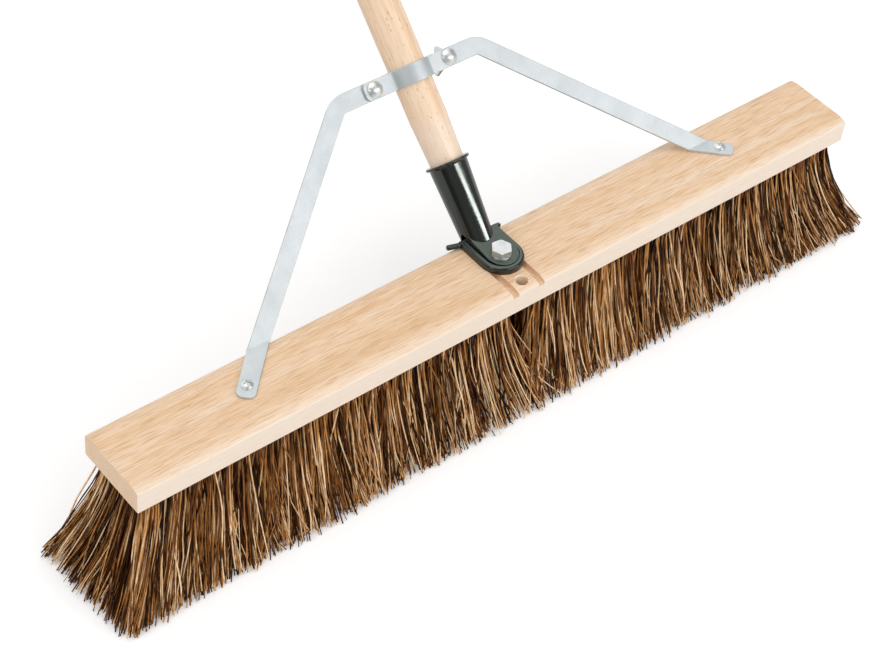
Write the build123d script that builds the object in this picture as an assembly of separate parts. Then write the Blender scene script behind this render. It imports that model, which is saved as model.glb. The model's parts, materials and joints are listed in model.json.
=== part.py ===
from build123d import *
from math import asin, atan2, cos, pi, radians, sin, tan
import os

# A push broom: a wooden block with rows of stiff bristles, a leaning round handle in a steel socket,
# and two flat steel brace arms from a clamp on the handle down to the block.
# Millimetres. The origin is on the floor under the middle of the block.
# X runs along the block, Y runs back to the side the handle leans to, and Z is up.

# Block
block_length = 610.0
block_width = 57.0
block_thickness = 19.0
shoulder_width = 9.0
shoulder_drop = 2.2
block_edge_radius = 0.8
groove_spacing = 22.0
groove_width = 4.0
groove_depth = 4.5
spare_hole_spacing = 22.4

# Bristles
bristle_height = 84.0
row_count = 5
row_wall = 3.5
slice_width = 6.0
slice_depth = 4.0
slice_end_margin = 11.0
slice_bolt_wall = 1.5
strands_per_row_half = 45
strand_inset = 3.0
strand_wall = 0.5
strand_root_radius = 1.3
strand_tip_radius = 0.8
row_splay = 20.9
end_splay = 30.0
gap_lean = 11.0
tip_wander = 1.2
sole_cut = 0.5

# Handle, measured along its axis from the top of the block
handle_lean = 46.0
handle_setback = 1.1
handle_radius = 13.25
handle_length = 1524.0
taper_above_socket = 32.0
taper_slope = 0.039
handle_end_chamfer = 1.0
dome_height = 10.0
grip_gap = 19.0
clamp_bite = 0.25

# Socket tube
socket_mouth = 60.0
socket_foot = 3.0
socket_grip = 32.0
socket_wall = 1.2
socket_mouth_wall = 1.6
socket_clearance = 0.1
socket_block_gap = 0.4
lip_flare = 1.4
lip_thickness = 2.0

# Bracket plate
bolt_setback = 18.6
plate_half_width = 16.0
plate_shift = 1.4
plate_front_reach = 14.5
plate_back_reach = 2.2
plate_height = 5.0
plate_sheet = 2.0
plate_edge_radius = 1.8
left_ear_reach = 10.5
right_ear_reach = 5.0
ear_size = 3.0
ear_slant = 18.0

# Bracket bolt, its washer and its nut
bolt_radius = 3.95
bolt_clearance = 0.3
bolt_head_flats = 12.7
bolt_head_height = 5.4
bolt_head_turn = -7.0
bolt_head_chamfer = 0.9
bolt_end_gap = 0.5
lock_washer_radius = 6.7
lock_washer_height = 1.8
tee_flange_radius = 9.5
tee_flange_thickness = 1.5
tee_barrel_radius = 5.0
tee_nut_height = 13.0

# Brace arms
strap_width = 12.7
strap_thickness = 2.0
clamp_height = 122.2
brace_turn = 1.43
brace_forward = 1.7
clamp_bolt_reach = 15.6
strap_end_reach = 8.0
strap_end_radius = 4.0
saddle_clearance = 0.1
saddle_bend_radius = 2.0
left_elbow_reach = 28.8
right_elbow_reach = 24.3
elbow_inner_radius = 3.0
elbow_outer_radius = 25.0
foot_screw_inset = 101.5
foot_screw_run = 18.1
foot_screw_skew = 1.35
foot_end_reach = 10.0
foot_corner_radius = 3.0
foot_bend_radius = 2.0

# Clamp bolts, washers and wing nuts
clamp_bolt_radius = 2.4
clamp_bolt_length = 17.0
clamp_bolt_chamfer = 0.5
clamp_head_radius = 5.5
clamp_head_rim = 0.7
clamp_head_dome = 2.1
clamp_neck_width = 4.8
clamp_neck_length = 3.2
clamp_hole_clearance = 0.15
clamp_washer_radius = 4.6
clamp_washer_height = 1.2
clamp_washer_clearance = 0.35
nut_base_radius = 5.0
nut_top_radius = 4.2
nut_height = 6.0
nut_thread_clearance = 0.05
wing_span = 20.5
wing_height = 14.0
wing_thickness = 2.2
wing_tip_radius = 2.6
wing_root_radius = 2.5
right_nut_turn = -66.0
left_nut_turn = 0.0

# Foot screws
screw_radius = 1.9
screw_length = 14.0
screw_point_length = 3.5
screw_head_radius = 4.0
screw_head_rim = 0.8
screw_head_dome = 1.6
screw_recess_width = 1.1
screw_recess_length = 4.4
screw_recess_depth = 1.3
screw_hole_clearance = 0.5
screw_pilot_clearance = 0.05

# Heights and places that follow from the sizes above
block_under = bristle_height
block_top = block_under + block_thickness
plate_top = block_top + plate_height
flat_half_width = block_width / 2 - shoulder_width
lean = radians(handle_lean)
handle_foot_y = flat_half_width + handle_setback
bolt_y = handle_foot_y - bolt_setback
bolt_hole_radius = bolt_radius + bolt_clearance
spare_hole_y = bolt_y - spare_hole_spacing
row_edge = block_width / 2 - row_wall - slice_width / 2
row_pitch = 2 * row_edge / (row_count - 1)
slice_start = tee_flange_radius + slice_bolt_wall
slice_end = block_length / 2 - slice_end_margin
strand_stagger = slice_width / 2 - strand_root_radius - strand_wall
golden_turn = pi * (3 - 5 ** 0.5)
handle_start = socket_mouth - socket_grip
handle_top = handle_start + handle_length
taper_end = socket_mouth + taper_above_socket
plate_back_y = handle_foot_y + plate_height * tan(lean) + plate_back_reach
plate_round_y = bolt_y - plate_front_reach + plate_half_width
strap_half = strap_width / 2
seat_radius = handle_radius - clamp_bite
saddle_radius = seat_radius + saddle_clearance
clamp_bolt_x = saddle_radius + strap_thickness + clamp_bolt_reach
strap_free_end = clamp_bolt_x + strap_end_reach
band_end = clamp_bolt_x + strap_end_reach / 2
grip_start = clamp_height + strap_half + grip_gap
foot_screw_x = block_length / 2 - foot_screw_inset
foot_screw_y = handle_foot_y - foot_screw_run
screw_hole_radius = screw_radius + screw_hole_clearance

# The handle's own frame: its Z runs up the handle, its Y points out of the back of the clamp.
handle_plane = Plane(
    origin=(0, handle_foot_y, block_top),
    x_dir=(1, 0, 0),
    z_dir=(0, sin(lean), cos(lean)),
)
handle_frame = handle_plane.location

# The brace's frame is the handle's, turned a little about the handle to bring the right side forward.
brace_frame = handle_frame * Rot(0, 0, -brace_turn)
brace_plane = Plane(brace_frame)
upright = Vector(0, 0, 1)
fold_line = brace_plane.y_dir.cross(upright).normalized()
leg_rise = fold_line.cross(brace_plane.y_dir)
foot_front = fold_line.cross(upright)

# What differs from side to side. The right foot stands further to the front, as the brace is turned.
side_names = {-1: "left", 1: "right"}
ear_reaches = {-1: left_ear_reach, 1: right_ear_reach}
elbow_places = {-1: clamp_bolt_x + left_elbow_reach, 1: clamp_bolt_x + right_elbow_reach}
screw_places = {
    -1: Vector(-foot_screw_x, foot_screw_y + foot_screw_skew, block_top),
    1: Vector(foot_screw_x, foot_screw_y - foot_screw_skew, block_top),
}
nut_turns = {-1: left_nut_turn, 1: right_nut_turn}

os.makedirs("parts", exist_ok=True)


def save(node, shape):
    """Writes the one solid of a node."""
    export_step(shape.solids()[0], f"parts/{node}.step")


def cylinder(radius, low, high, x=0.0, y=0.0):
    """A round bar standing between two heights."""
    return Pos(x, y, (low + high) / 2) * Cylinder(radius, high - low)


def block(x_low, x_high, y_low, y_high, z_low, z_high):
    """A square-edged block between two corners."""
    middle = Pos((x_low + x_high) / 2, (y_low + y_high) / 2, (z_low + z_high) / 2)
    return middle * Box(x_high - x_low, y_high - y_low, z_high - z_low)


def turned(outline):
    """A solid turned about Z from an outline of lines and arcs in radius and height."""
    return revolve(Plane.XZ * make_face(outline), axis=Axis.Z, clean=False)


def dome_arc(radius, base, rise):
    """The arc of a round cap from its rim to its top on the axis. A negative rise hangs it downwards."""
    ball = (radius ** 2 + rise ** 2) / (2 * rise)
    half_angle = asin(radius / abs(ball)) / 2
    halfway = (abs(ball) * sin(half_angle), base + rise - ball + ball * cos(half_angle))
    return ThreePointArc((radius, base), halfway, (0, base + rise))


# Bristle rows

def slice_span(side):
    """The two ends along X of the slice of block that holds one half of a row."""
    return sorted((side * slice_start, side * slice_end))


def row_y(row):
    """How far back a row of bristles stands."""
    return row * row_pitch - row_edge


def triangle(x, y, z, radius, turn):
    """One level three-sided section of a strand."""
    corners = []
    for corner in range(3):
        angle = turn + corner * 2 * pi / 3
        corners.append((x + radius * cos(angle), y + radius * sin(angle), z))
    return Face(Wire.make_polygon(corners))


def strand(side, row, number):
    """One bowed strand from inside its slice to just under the floor."""
    share = number / (strands_per_row_half - 1)
    first = slice_start + strand_inset
    last = slice_end - strand_inset
    reach = first + share * (last - first)
    wander = golden_turn * (number + row * strands_per_row_half)
    splay = end_splay * share ** 4 - gap_lean * (1 - share) ** 6
    root_x = side * reach
    root_y = row_y(row) + strand_stagger * (-1) ** number
    tip_x = side * (reach + splay) + tip_wander * cos(wander)
    tip_y = root_y + row_splay * row_y(row) / row_edge + tip_wander * sin(wander)
    root_z = block_under + slice_depth / 4
    tip_z = -sole_cut
    mid_x = root_x + (tip_x - root_x) * 0.4
    mid_y = root_y + (tip_y - root_y) * 0.4
    mid_z = (root_z + tip_z) / 2
    mid_radius = (strand_root_radius + strand_tip_radius) / 2
    sections = [
        triangle(root_x, root_y, root_z, strand_root_radius, wander),
        triangle(mid_x, mid_y, mid_z, mid_radius, wander),
        triangle(tip_x, tip_y, tip_z, strand_tip_radius, wander),
    ]
    return loft(sections, ruled=True, clean=False)


def bristle_row(side, row):
    """Half a row of strands on the slice of block that they are set in, cut level at the floor."""
    low, high = slice_span(side)
    middle = row_y(row)
    edge = slice_width / 2
    bed = block(low, high, middle - edge, middle + edge, block_under, block_under + slice_depth)
    strands = []
    for number in range(strands_per_row_half):
        strands.append(strand(side, row, number).solids()[0])
    grown = bed.solids()[0].fuse(*strands)
    reach = block_length
    return grown - block(-reach, reach, -reach, reach, -20, 0)


for row in range(row_count):
    for side in (-1, 1):
        save(f"bristle_row_{row + 1}_{side_names[side]}", bristle_row(side, row))


# Block

half_width = block_width / 2
shoulder_foot = block_top - shoulder_drop
back_shoulder = TangentArc((flat_half_width, block_top), (half_width, shoulder_foot), tangent=(1, 0))
front_shoulder = TangentArc((-flat_half_width, block_top), (-half_width, shoulder_foot), tangent=(-1, 0))
block_outline = make_face(
    [
        Line((-half_width, block_under), (half_width, block_under)),
        Line((half_width, block_under), (half_width, shoulder_foot)),
        back_shoulder,
        Line((flat_half_width, block_top), (-flat_half_width, block_top)),
        front_shoulder,
        Line((-half_width, shoulder_foot), (-half_width, block_under)),
    ]
)
brush_block = extrude(Plane.YZ * block_outline, amount=block_length / 2, both=True)
end_faces = brush_block.faces().filter_by(Axis.X)
brush_block = fillet(end_faces.edges(), block_edge_radius)
for row in range(row_count):
    for side in (-1, 1):
        low, high = slice_span(side)
        near = row_y(row) - slice_width / 2
        brush_block -= block(low, high, near, near + slice_width, block_under - 1, block_under + slice_depth)
for side in (-1, 1):
    groove = side * groove_spacing / 2
    brush_block -= block(
        groove - groove_width / 2,
        groove + groove_width / 2,
        -block_width,
        bolt_y - groove_width,
        block_top - groove_depth,
        block_top + 1,
    )
    pilot = screw_radius + screw_pilot_clearance
    pilot_floor = block_top + strap_thickness - screw_length - screw_pilot_clearance
    screw_place = screw_places[side]
    brush_block -= cylinder(pilot, pilot_floor, block_top + 1, screw_place.X, screw_place.Y)
brush_block -= cylinder(bolt_hole_radius, block_under - 1, block_top + 1, 0, spare_hole_y)
brush_block -= cylinder(bolt_hole_radius, block_under - 1, block_top + 1, 0, bolt_y)
brush_block -= cylinder(tee_barrel_radius, block_under - 1, block_under + tee_nut_height, 0, bolt_y)
brush_block -= cylinder(tee_flange_radius, block_under - 1, block_under + tee_flange_thickness, 0, bolt_y)
save("brush_block", brush_block)


# Handle

taper_radius = seat_radius - taper_slope * (taper_end - handle_start)
dome_start = handle_top - dome_height
# The barrel is a little thinner where the clamp bites into the wood than at the grip above it.
handle = turned(
    [
        Line((0, handle_start), (taper_radius - handle_end_chamfer, handle_start)),
        Line(
            (taper_radius - handle_end_chamfer, handle_start),
            (taper_radius, handle_start + handle_end_chamfer),
        ),
        Line((taper_radius, handle_start + handle_end_chamfer), (seat_radius, taper_end)),
        Line((seat_radius, taper_end), (seat_radius, grip_start)),
        Line((seat_radius, grip_start), (handle_radius, grip_start)),
        Line((handle_radius, grip_start), (handle_radius, dome_start)),
        dome_arc(handle_radius, dome_start, dome_height),
        Line((0, handle_top), (0, handle_start)),
    ]
)
save("handle", handle_frame * handle)


# Socket tube

def socket_bore(height):
    """The radius of the socket's bore, which follows the handle's taper."""
    return seat_radius - taper_slope * (taper_end - height) + socket_clearance


lip_foot = socket_mouth - lip_thickness
lip_round = lip_thickness / 2
foot_bore = socket_bore(socket_foot)
mouth_bore = socket_bore(socket_mouth)
foot_outer = foot_bore + socket_wall
lip_radius = mouth_bore + socket_mouth_wall + lip_flare
lip_foot_outer = socket_bore(lip_foot - lip_thickness) + socket_mouth_wall
socket_tube = turned(
    [
        Line((foot_bore, socket_foot), (mouth_bore, socket_mouth)),
        Line((mouth_bore, socket_mouth), (lip_radius - lip_round, socket_mouth)),
        ThreePointArc(
            (lip_radius - lip_round, socket_mouth),
            (lip_radius, socket_mouth - lip_round),
            (lip_radius - lip_round, lip_foot),
        ),
        Line((lip_radius - lip_round, lip_foot), (lip_foot_outer, lip_foot - lip_thickness)),
        Line((lip_foot_outer, lip_foot - lip_thickness), (foot_outer, socket_foot)),
        Line((foot_outer, socket_foot), (foot_bore, socket_foot)),
    ]
)
# The square-cut foot stands on the plate and hangs free behind the block.
tube_back = block_width / 2 + socket_block_gap
socket_tube = handle_frame * socket_tube
socket_tube -= block(-block_width, block_width, -block_width, tube_back, 0, plate_top)
save("socket_tube", socket_tube)


# Bracket plate

def plate_outline(inset):
    """The plate's outline from above, with a round front."""
    edge = plate_half_width - inset
    back = plate_back_y - inset
    outline = make_face(
        [
            Line((-edge, back), (-edge, plate_round_y)),
            ThreePointArc((-edge, plate_round_y), (0, plate_round_y - edge), (edge, plate_round_y)),
            Line((edge, plate_round_y), (edge, back)),
            Line((edge, back), (-edge, back)),
        ]
    )
    return Pos(plate_shift, 0) * outline


bracket_plate = extrude(Pos(0, 0, block_top) * plate_outline(0), amount=plate_height)
top_edges = bracket_plate.faces().sort_by(Axis.Z)[-1].edges()
bracket_plate = fillet(top_edges, plate_edge_radius)
hollow = Pos(0, 0, block_top) * plate_outline(plate_sheet)
bracket_plate -= extrude(hollow, amount=plate_height - plate_sheet)
for side in (-1, 1):
    ear_x = plate_shift + side * (plate_half_width - plate_sheet / 2)
    ear_root = Pos(ear_x, plate_back_y - ear_size / 2, plate_top - ear_size)
    ear_reach = ear_reaches[side]
    ear = Pos(ear_reach / 2, 0, 0) * Box(ear_reach, ear_size, ear_size)
    ear = fillet(ear.edges().filter_by(Axis.Y), ear_size / 4)
    swing = 90 - side * (90 - ear_slant)
    bracket_plate += ear_root * Rot(0, 0, swing) * ear
bracket_plate -= cylinder(bolt_hole_radius, block_top - 1, plate_top + 1, 0, bolt_y)
save("bracket_plate", bracket_plate)


# Bracket bolt, its washer and its nut

head_under = plate_top + lock_washer_height
head_corner = bolt_head_flats / 2 / cos(pi / 6)
head_blank = cylinder(head_corner, head_under, head_under + bolt_head_height)
head_blank = chamfer(head_blank.edges().sort_by(Axis.Z)[-1], bolt_head_chamfer * 0.6, bolt_head_chamfer)
hexagon = Pos(0, 0, head_under) * Rot(0, 0, bolt_head_turn) * RegularPolygon(head_corner, 6)
bracket_bolt = head_blank & extrude(hexagon, amount=bolt_head_height)
bracket_bolt += cylinder(bolt_radius, block_under + bolt_end_gap, head_under)
save("bracket_bolt", Pos(0, bolt_y, 0) * bracket_bolt)

lock_washer = cylinder(lock_washer_radius, plate_top, head_under)
lock_washer -= cylinder(bolt_hole_radius, plate_top, head_under)
save("bolt_lock_washer", Pos(0, bolt_y, 0) * lock_washer)

tee_nut = cylinder(tee_flange_radius, block_under, block_under + tee_flange_thickness)
tee_nut += cylinder(tee_barrel_radius, block_under, block_under + tee_nut_height)
tee_nut -= cylinder(bolt_radius + nut_thread_clearance, block_under - 1, block_under + tee_nut_height + 1)
save("tee_nut", Pos(0, bolt_y, 0) * tee_nut)


# Brace arms

def clamp_band(back):
    """The strap round the front of the handle, with the back of its flats at a given Y."""
    flat = Rectangle(strap_free_end + band_end, strap_thickness)
    front = back - strap_thickness
    band = Pos((band_end - strap_free_end) / 2, back - strap_thickness / 2) * flat
    band += Circle(saddle_radius + strap_thickness)
    corners = band.vertices().filter_by_position(Axis.Y, front - 0.02, front + 0.02)
    corners = corners.filter_by_position(Axis.X, -clamp_bolt_x, clamp_bolt_x)
    band = fillet(corners, saddle_bend_radius)
    band -= Pos(0, back + 2 * saddle_radius) * Rectangle(4 * saddle_radius, 4 * saddle_radius)
    band -= Circle(saddle_radius)
    strap = extrude(Pos(0, 0, clamp_height - strap_half) * band, amount=strap_width)
    end_edges = strap.edges().filter_by(Axis.Y).group_by(Axis.X)[0]
    return fillet(end_edges, strap_end_radius)


def arm_leg(back, elbow_x, slope, run):
    """The flat strap from beside the clamp bolt round the elbow and on down past the foot bend."""
    top = clamp_height + strap_half
    bottom = clamp_height - strap_half
    corner = strap_half * tan(slope / 2)
    run_x = run * cos(slope)
    run_z = run * sin(slope)
    outer = (elbow_x + corner, top)
    inner = (elbow_x - corner, bottom)
    strap = make_face(
        [
            Line((clamp_bolt_x, bottom), (clamp_bolt_x, top)),
            Line((clamp_bolt_x, top), outer),
            Line(outer, (elbow_x + corner + run_x, top - run_z)),
            Line((elbow_x + corner + run_x, top - run_z), (elbow_x - corner + run_x, bottom - run_z)),
            Line((elbow_x - corner + run_x, bottom - run_z), inner),
            Line(inner, (clamp_bolt_x, bottom)),
        ]
    )
    bends = strap.vertices().filter_by_position(Axis.X, elbow_x - 2 * corner, elbow_x + 2 * corner)
    bends = bends.sort_by(Axis.Y)
    strap = fillet(bends[-1], elbow_outer_radius)
    inner_bend = strap.vertices().sort_by_distance(inner)[0]
    strap = fillet(inner_bend, elbow_inner_radius)
    return Pos(0, back, 0) * extrude(Plane.XZ * strap, amount=strap_thickness)


def foot_creases(arm):
    """The edges along the fold above the foot, from the underside up."""
    return arm.edges().filter_by(Axis((0, 0, 0), fold_line)).sort_by(Axis.Z)


def brace_arm(side):
    """One arm of clamp band, leg and foot. The right one passes in front of the handle, the left behind."""
    layer = strap_thickness if side < 0 else 0.0
    fold_y = handle_foot_y + (layer - brace_forward) / brace_plane.y_dir.Y
    fold_point = Vector(0, fold_y, block_top)
    screw_point = screw_places[side]
    along = (screw_point - fold_point).dot(fold_line)
    across = (screw_point - fold_point).dot(foot_front)
    # The place the screw hole has in the strap before the foot is folded gives the leg its slope.
    unfolded = brace_plane.to_local_coords(fold_point + fold_line * along - leg_rise * across)
    drop = clamp_height - unfolded.Z
    slope = atan2(drop, side * unfolded.X - elbow_places[side])
    back = -side * brace_forward
    upper = clamp_band(back) + arm_leg(back, elbow_places[side], slope, 1.2 * drop / sin(slope))
    for bolt_side in (-1, 1):
        hole = clamp_neck_width + 2 * clamp_hole_clearance
        upper -= Pos(bolt_side * clamp_bolt_x, back, clamp_height) * Box(hole, 4 * strap_thickness, hole)
    upper = brace_frame * Rot(0, 0, 0 if side > 0 else 180) * upper
    leg_heading = brace_plane.x_dir * (side * cos(slope)) - brace_plane.z_dir * sin(slope)
    fall = -leg_heading.dot(leg_rise)
    foot_heading = fold_line * leg_heading.dot(fold_line) + foot_front * fall
    screw_run = across / fall
    foot_length = screw_run + foot_end_reach
    blank = Rectangle(foot_length + strap_width, strap_width)
    blank = fillet(blank.vertices().group_by(Axis.X)[-1], foot_corner_radius)
    blank = Pos((foot_length - strap_width) / 2, 0) * blank
    foot_plane = Plane(origin=screw_point - foot_heading * screw_run, x_dir=foot_heading, z_dir=upright)
    foot = extrude(foot_plane * blank, amount=strap_thickness)
    foot -= cylinder(screw_hole_radius, block_top - 1, plate_top, screw_point.X, screw_point.Y)
    fold = Plane(origin=fold_point, x_dir=fold_line, z_dir=leg_rise - foot_front)
    leg = split(upper, bisect_by=fold, keep=Keep.TOP)
    toe = split(foot, bisect_by=fold, keep=Keep.BOTTOM)
    arm = leg + toe
    arm = fillet(foot_creases(arm)[0], foot_bend_radius + strap_thickness)
    return fillet(foot_creases(arm)[-1], foot_bend_radius)


for side in (-1, 1):
    save(f"brace_arm_{side_names[side]}", brace_arm(side))


# Clamp bolts, washers and wing nuts, each drawn along Z out of the back of the clamp

def clamp_bolt():
    """A round-head bolt with a square neck under the head."""
    head = turned(
        [
            Line((0, 0), (clamp_head_radius, 0)),
            Line((clamp_head_radius, 0), (clamp_head_radius, -clamp_head_rim)),
            dome_arc(clamp_head_radius, -clamp_head_rim, -clamp_head_dome),
            Line((0, -clamp_head_rim - clamp_head_dome), (0, 0)),
        ]
    )
    half_neck = clamp_neck_width / 2
    neck = block(-half_neck, half_neck, -half_neck, half_neck, 0, clamp_neck_length)
    shank = cylinder(clamp_bolt_radius, 0, clamp_bolt_length)
    shank = chamfer(shank.edges().sort_by(Axis.Z)[-1], clamp_bolt_chamfer)
    return head + neck + shank


def wing_nut(turn):
    """A wing nut with its seat at Z 0, its wings turned from the strap's width."""
    base = Pos(0, 0, nut_height / 2) * Cone(nut_base_radius, nut_top_radius, nut_height)
    tip_x = wing_span / 2 - wing_tip_radius
    tip_z = wing_height - wing_tip_radius
    wing = make_hull(
        [
            *(Pos(tip_x, tip_z) * Circle(wing_tip_radius)).edges(),
            *(Pos(nut_top_radius, nut_height / 2) * Circle(wing_root_radius)).edges(),
        ]
    )
    wing = extrude(Plane.XZ * wing, amount=wing_thickness / 2, both=True)
    nut = base + wing + Rot(0, 0, 180) * wing
    nut -= cylinder(clamp_bolt_radius + nut_thread_clearance, -1, wing_height + 1)
    return Rot(0, 0, turn) * nut


def on_clamp(side, out):
    """The place on a clamp bolt's axis a given distance behind the plane where the two straps meet."""
    return brace_frame * Pos(side * clamp_bolt_x, out - brace_forward, clamp_height) * Rot(-90, 0, 0)


for side in (-1, 1):
    name = side_names[side]
    seat = strap_thickness + clamp_washer_height
    washer = cylinder(clamp_washer_radius, 0, clamp_washer_height)
    washer -= cylinder(clamp_bolt_radius + clamp_washer_clearance, -1, clamp_washer_height + 1)
    save(f"clamp_bolt_{name}", on_clamp(side, -strap_thickness) * clamp_bolt())
    save(f"clamp_washer_{name}", on_clamp(side, strap_thickness) * washer)
    save(f"wing_nut_{name}", on_clamp(side, seat) * wing_nut(nut_turns[side]))


# Foot screws

def foot_screw():
    """A pan-head screw with a cross recess, its head's seat at Z 0."""
    head = turned(
        [
            Line((0, 0), (screw_head_radius, 0)),
            Line((screw_head_radius, 0), (screw_head_radius, screw_head_rim)),
            dome_arc(screw_head_radius, screw_head_rim, screw_head_dome),
            Line((0, screw_head_rim + screw_head_dome), (0, 0)),
        ]
    )
    for swing in (0, 90):
        arm = Box(screw_recess_length, screw_recess_width, 2 * screw_recess_depth)
        head -= Pos(0, 0, screw_head_rim + screw_head_dome) * Rot(0, 0, swing) * arm
    shank = turned(
        [
            Line((0, 0), (screw_radius, 0)),
            Line((screw_radius, 0), (screw_radius, screw_point_length - screw_length)),
            Line((screw_radius, screw_point_length - screw_length), (0, -screw_length)),
            Line((0, -screw_length), (0, 0)),
        ]
    )
    return head + shank


for side in (-1, 1):
    seat = Pos(screw_places[side] + Vector(0, 0, strap_thickness))
    save(f"foot_screw_{side_names[side]}", seat * foot_screw())
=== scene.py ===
"""Push broom: the looks of its wooden head, bristles, handle, bracket and brace.

Every size is in millimetres until a mesh is finished, when it is scaled to metres.
X runs along the block, Y runs back to the side the handle leans to, and Z is up.
"""

import json
import logging
import math
import random
from collections.abc import Iterable, Sequence
from dataclasses import dataclass, field
from enum import Enum, IntEnum
from typing import Any

import bmesh
import bpy
from mathutils import Matrix, Quaternion, Vector


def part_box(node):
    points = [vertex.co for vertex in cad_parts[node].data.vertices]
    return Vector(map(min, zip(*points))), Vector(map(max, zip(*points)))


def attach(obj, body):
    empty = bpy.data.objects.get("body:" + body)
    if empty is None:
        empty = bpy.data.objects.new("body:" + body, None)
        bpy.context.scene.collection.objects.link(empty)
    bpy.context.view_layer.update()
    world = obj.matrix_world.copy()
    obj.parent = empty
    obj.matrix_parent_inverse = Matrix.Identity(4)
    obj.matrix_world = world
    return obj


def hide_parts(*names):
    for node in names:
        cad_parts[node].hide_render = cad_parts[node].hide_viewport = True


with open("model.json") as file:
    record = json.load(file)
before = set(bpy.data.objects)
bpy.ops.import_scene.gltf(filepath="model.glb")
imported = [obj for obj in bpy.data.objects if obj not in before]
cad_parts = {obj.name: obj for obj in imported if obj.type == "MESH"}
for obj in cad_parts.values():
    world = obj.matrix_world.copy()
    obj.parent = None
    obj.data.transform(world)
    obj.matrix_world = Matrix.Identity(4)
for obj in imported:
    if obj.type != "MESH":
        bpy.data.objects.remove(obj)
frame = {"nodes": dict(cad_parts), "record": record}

BMesh = bmesh.types.BMesh
Socket = bpy.types.NodeSocket
Tree = bpy.types.NodeTree
Pair = tuple[float, float]
Triple = tuple[float, float, float]

LOG = logging.getLogger("push_broom")
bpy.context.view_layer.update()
BROOM = "broom"
WHITE = "#FFFFFF"
UP = (0, 0, 1)
# The attribute that holds the tone of each fibre
TONE = "tone"
# One millimetre in metres
MM = 0.001
# Vertices closer than this are merged
WELD = 0.002
# The output of a Mix node that carries a colour
MIXED_COLOUR = 2


class Mix(IntEnum):
    """The inputs of a Mix node, whose names repeat: a share, and two numbers or two colours."""

    SHARE = 0
    NUMBER_A = 2
    NUMBER_B = 3
    COLOUR_A = 6
    COLOUR_B = 7


class Side(Enum):
    """The two ends of the block, as seen by someone facing its front."""

    LEFT = -1
    RIGHT = 1

    @property
    def label(self) -> str:
        """The word for this side in the names of pieces."""
        return self.name.lower()


class Grain(Enum):
    """How a wooden piece lies: the turn that lays its grain along it, in degrees."""

    ALONG_BLOCK = (0.0, 90.0, 0.0)
    ALONG_HANDLE = (-46.0, 0.0, 0.0)


class Slot(Enum):
    """The record's material slots."""

    BLOCK_WOOD = "block_wood"
    HANDLE_WOOD = "handle_wood"
    PLANT_FIBRE = "plant_fibre"
    BLACK_PAINT = "black_paint"
    GALVANISED_BAR = "galvanised_bar"
    ZINC_HARDWARE = "zinc_hardware"


# Small tools for nodes and meshes


def linear(code: str) -> tuple[float, float, float, float]:
    """Turns an sRGB hex colour to the linear values that shaders take.

    Args:
        code: The colour as #RRGGBB.

    Returns:
        Red, green, blue and alpha.
    """
    parts = [int(code[start : start + 2], 16) / 255 for start in (1, 3, 5)]
    red, green, blue = (c / 12.92 if c <= 0.04045 else ((c + 0.055) / 1.055) ** 2.4 for c in parts)
    return red, green, blue, 1.0


def add_node(
    tree: Tree,
    kind: str,
    inputs: dict[str | int, Any] | None = None,
    stops: Sequence[tuple[float, str]] = (),
    **settings: Any,
) -> bpy.types.Node:
    """Adds one node with its settings, its values and its links.

    Args:
        tree: The node tree that gets it.
        kind: The node's type without the ShaderNode in front.
        inputs: Values by socket, or the sockets that are linked to them.
        stops: Places and hex colours along a colour ramp, its two ends first.
        settings: The node's own options.

    Returns:
        The new node.
    """
    node = tree.nodes.new("ShaderNode" + kind)
    for option, value in settings.items():
        setattr(node, option, value)
    for socket, value in (inputs or {}).items():
        if isinstance(value, Socket):
            tree.links.new(value, node.inputs[socket])
        else:
            node.inputs[socket].default_value = value
    for number, (place, code) in enumerate(stops):
        elements = node.color_ramp.elements
        element = elements[number] if number < 2 else elements.new(place)
        element.position = place
        element.color = linear(code)
    return node


def new_material(name: str) -> tuple[bpy.types.Material, Tree]:
    """Starts a material with an empty node tree.

    Args:
        name: What the material is.

    Returns:
        The material and its tree.
    """
    material = bpy.data.materials.new(name)
    material.use_nodes = True
    material.node_tree.nodes.clear()
    return material, material.node_tree


def shown(name: str, data: bpy.types.ID) -> bpy.types.Object:
    """Makes an object of a mesh, a lamp or a camera and links it to the scene.

    Args:
        name: The object's name.
        data: What it shows.

    Returns:
        The object.
    """
    item = bpy.data.objects.new(name, data)
    bpy.context.scene.collection.objects.link(item)
    return item


def about(axis: str, angle: float) -> Matrix:
    """Gives a turn about an axis by an angle in degrees."""
    return Matrix.Rotation(math.radians(angle), 4, axis)


def ball_of_cap(radius: float, rise: float) -> Pair:
    """Finds the ball, or in section the circle, that a rounded cap is cut from.

    Args:
        radius: The cap's own radius.
        rise: The cap's height.

    Returns:
        The ball's radius, and the angle in degrees from its top down to the cap's rim.
    """
    ball = (radius**2 + rise**2) / (2 * rise)
    return ball, math.degrees(math.asin(radius / ball))


def rounded(bm: BMesh, geom: Sequence[Any], width: float, segments: int, affect: str = "EDGES") -> None:
    """Rounds edges or corners.

    Args:
        bm: The mesh.
        geom: The edges or the corners.
        width: The width of the rounding.
        segments: The number of faces across it.
        affect: EDGES or VERTICES.
    """
    bmesh.ops.bevel(
        bm,
        geom=geom,
        offset=width,
        offset_type="OFFSET",
        segments=segments,
        profile=0.5,
        affect=affect,
        clamp_overlap=True,
        material=-1,
    )


def soften(bm: BMesh, width: float, angle: float = 40.0, segments: int = 3) -> None:
    """Rounds the sharp edges of a mesh.

    Args:
        bm: The mesh.
        width: The width of the rounding.
        angle: Edges sharper than this many degrees are rounded.
        segments: The number of faces across each rounding.
    """
    limit = math.radians(angle)
    sharp = [edge for edge in bm.edges if edge.is_manifold and edge.calc_face_angle(0.0) > limit]
    rounded(bm, sharp, width, segments)


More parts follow.
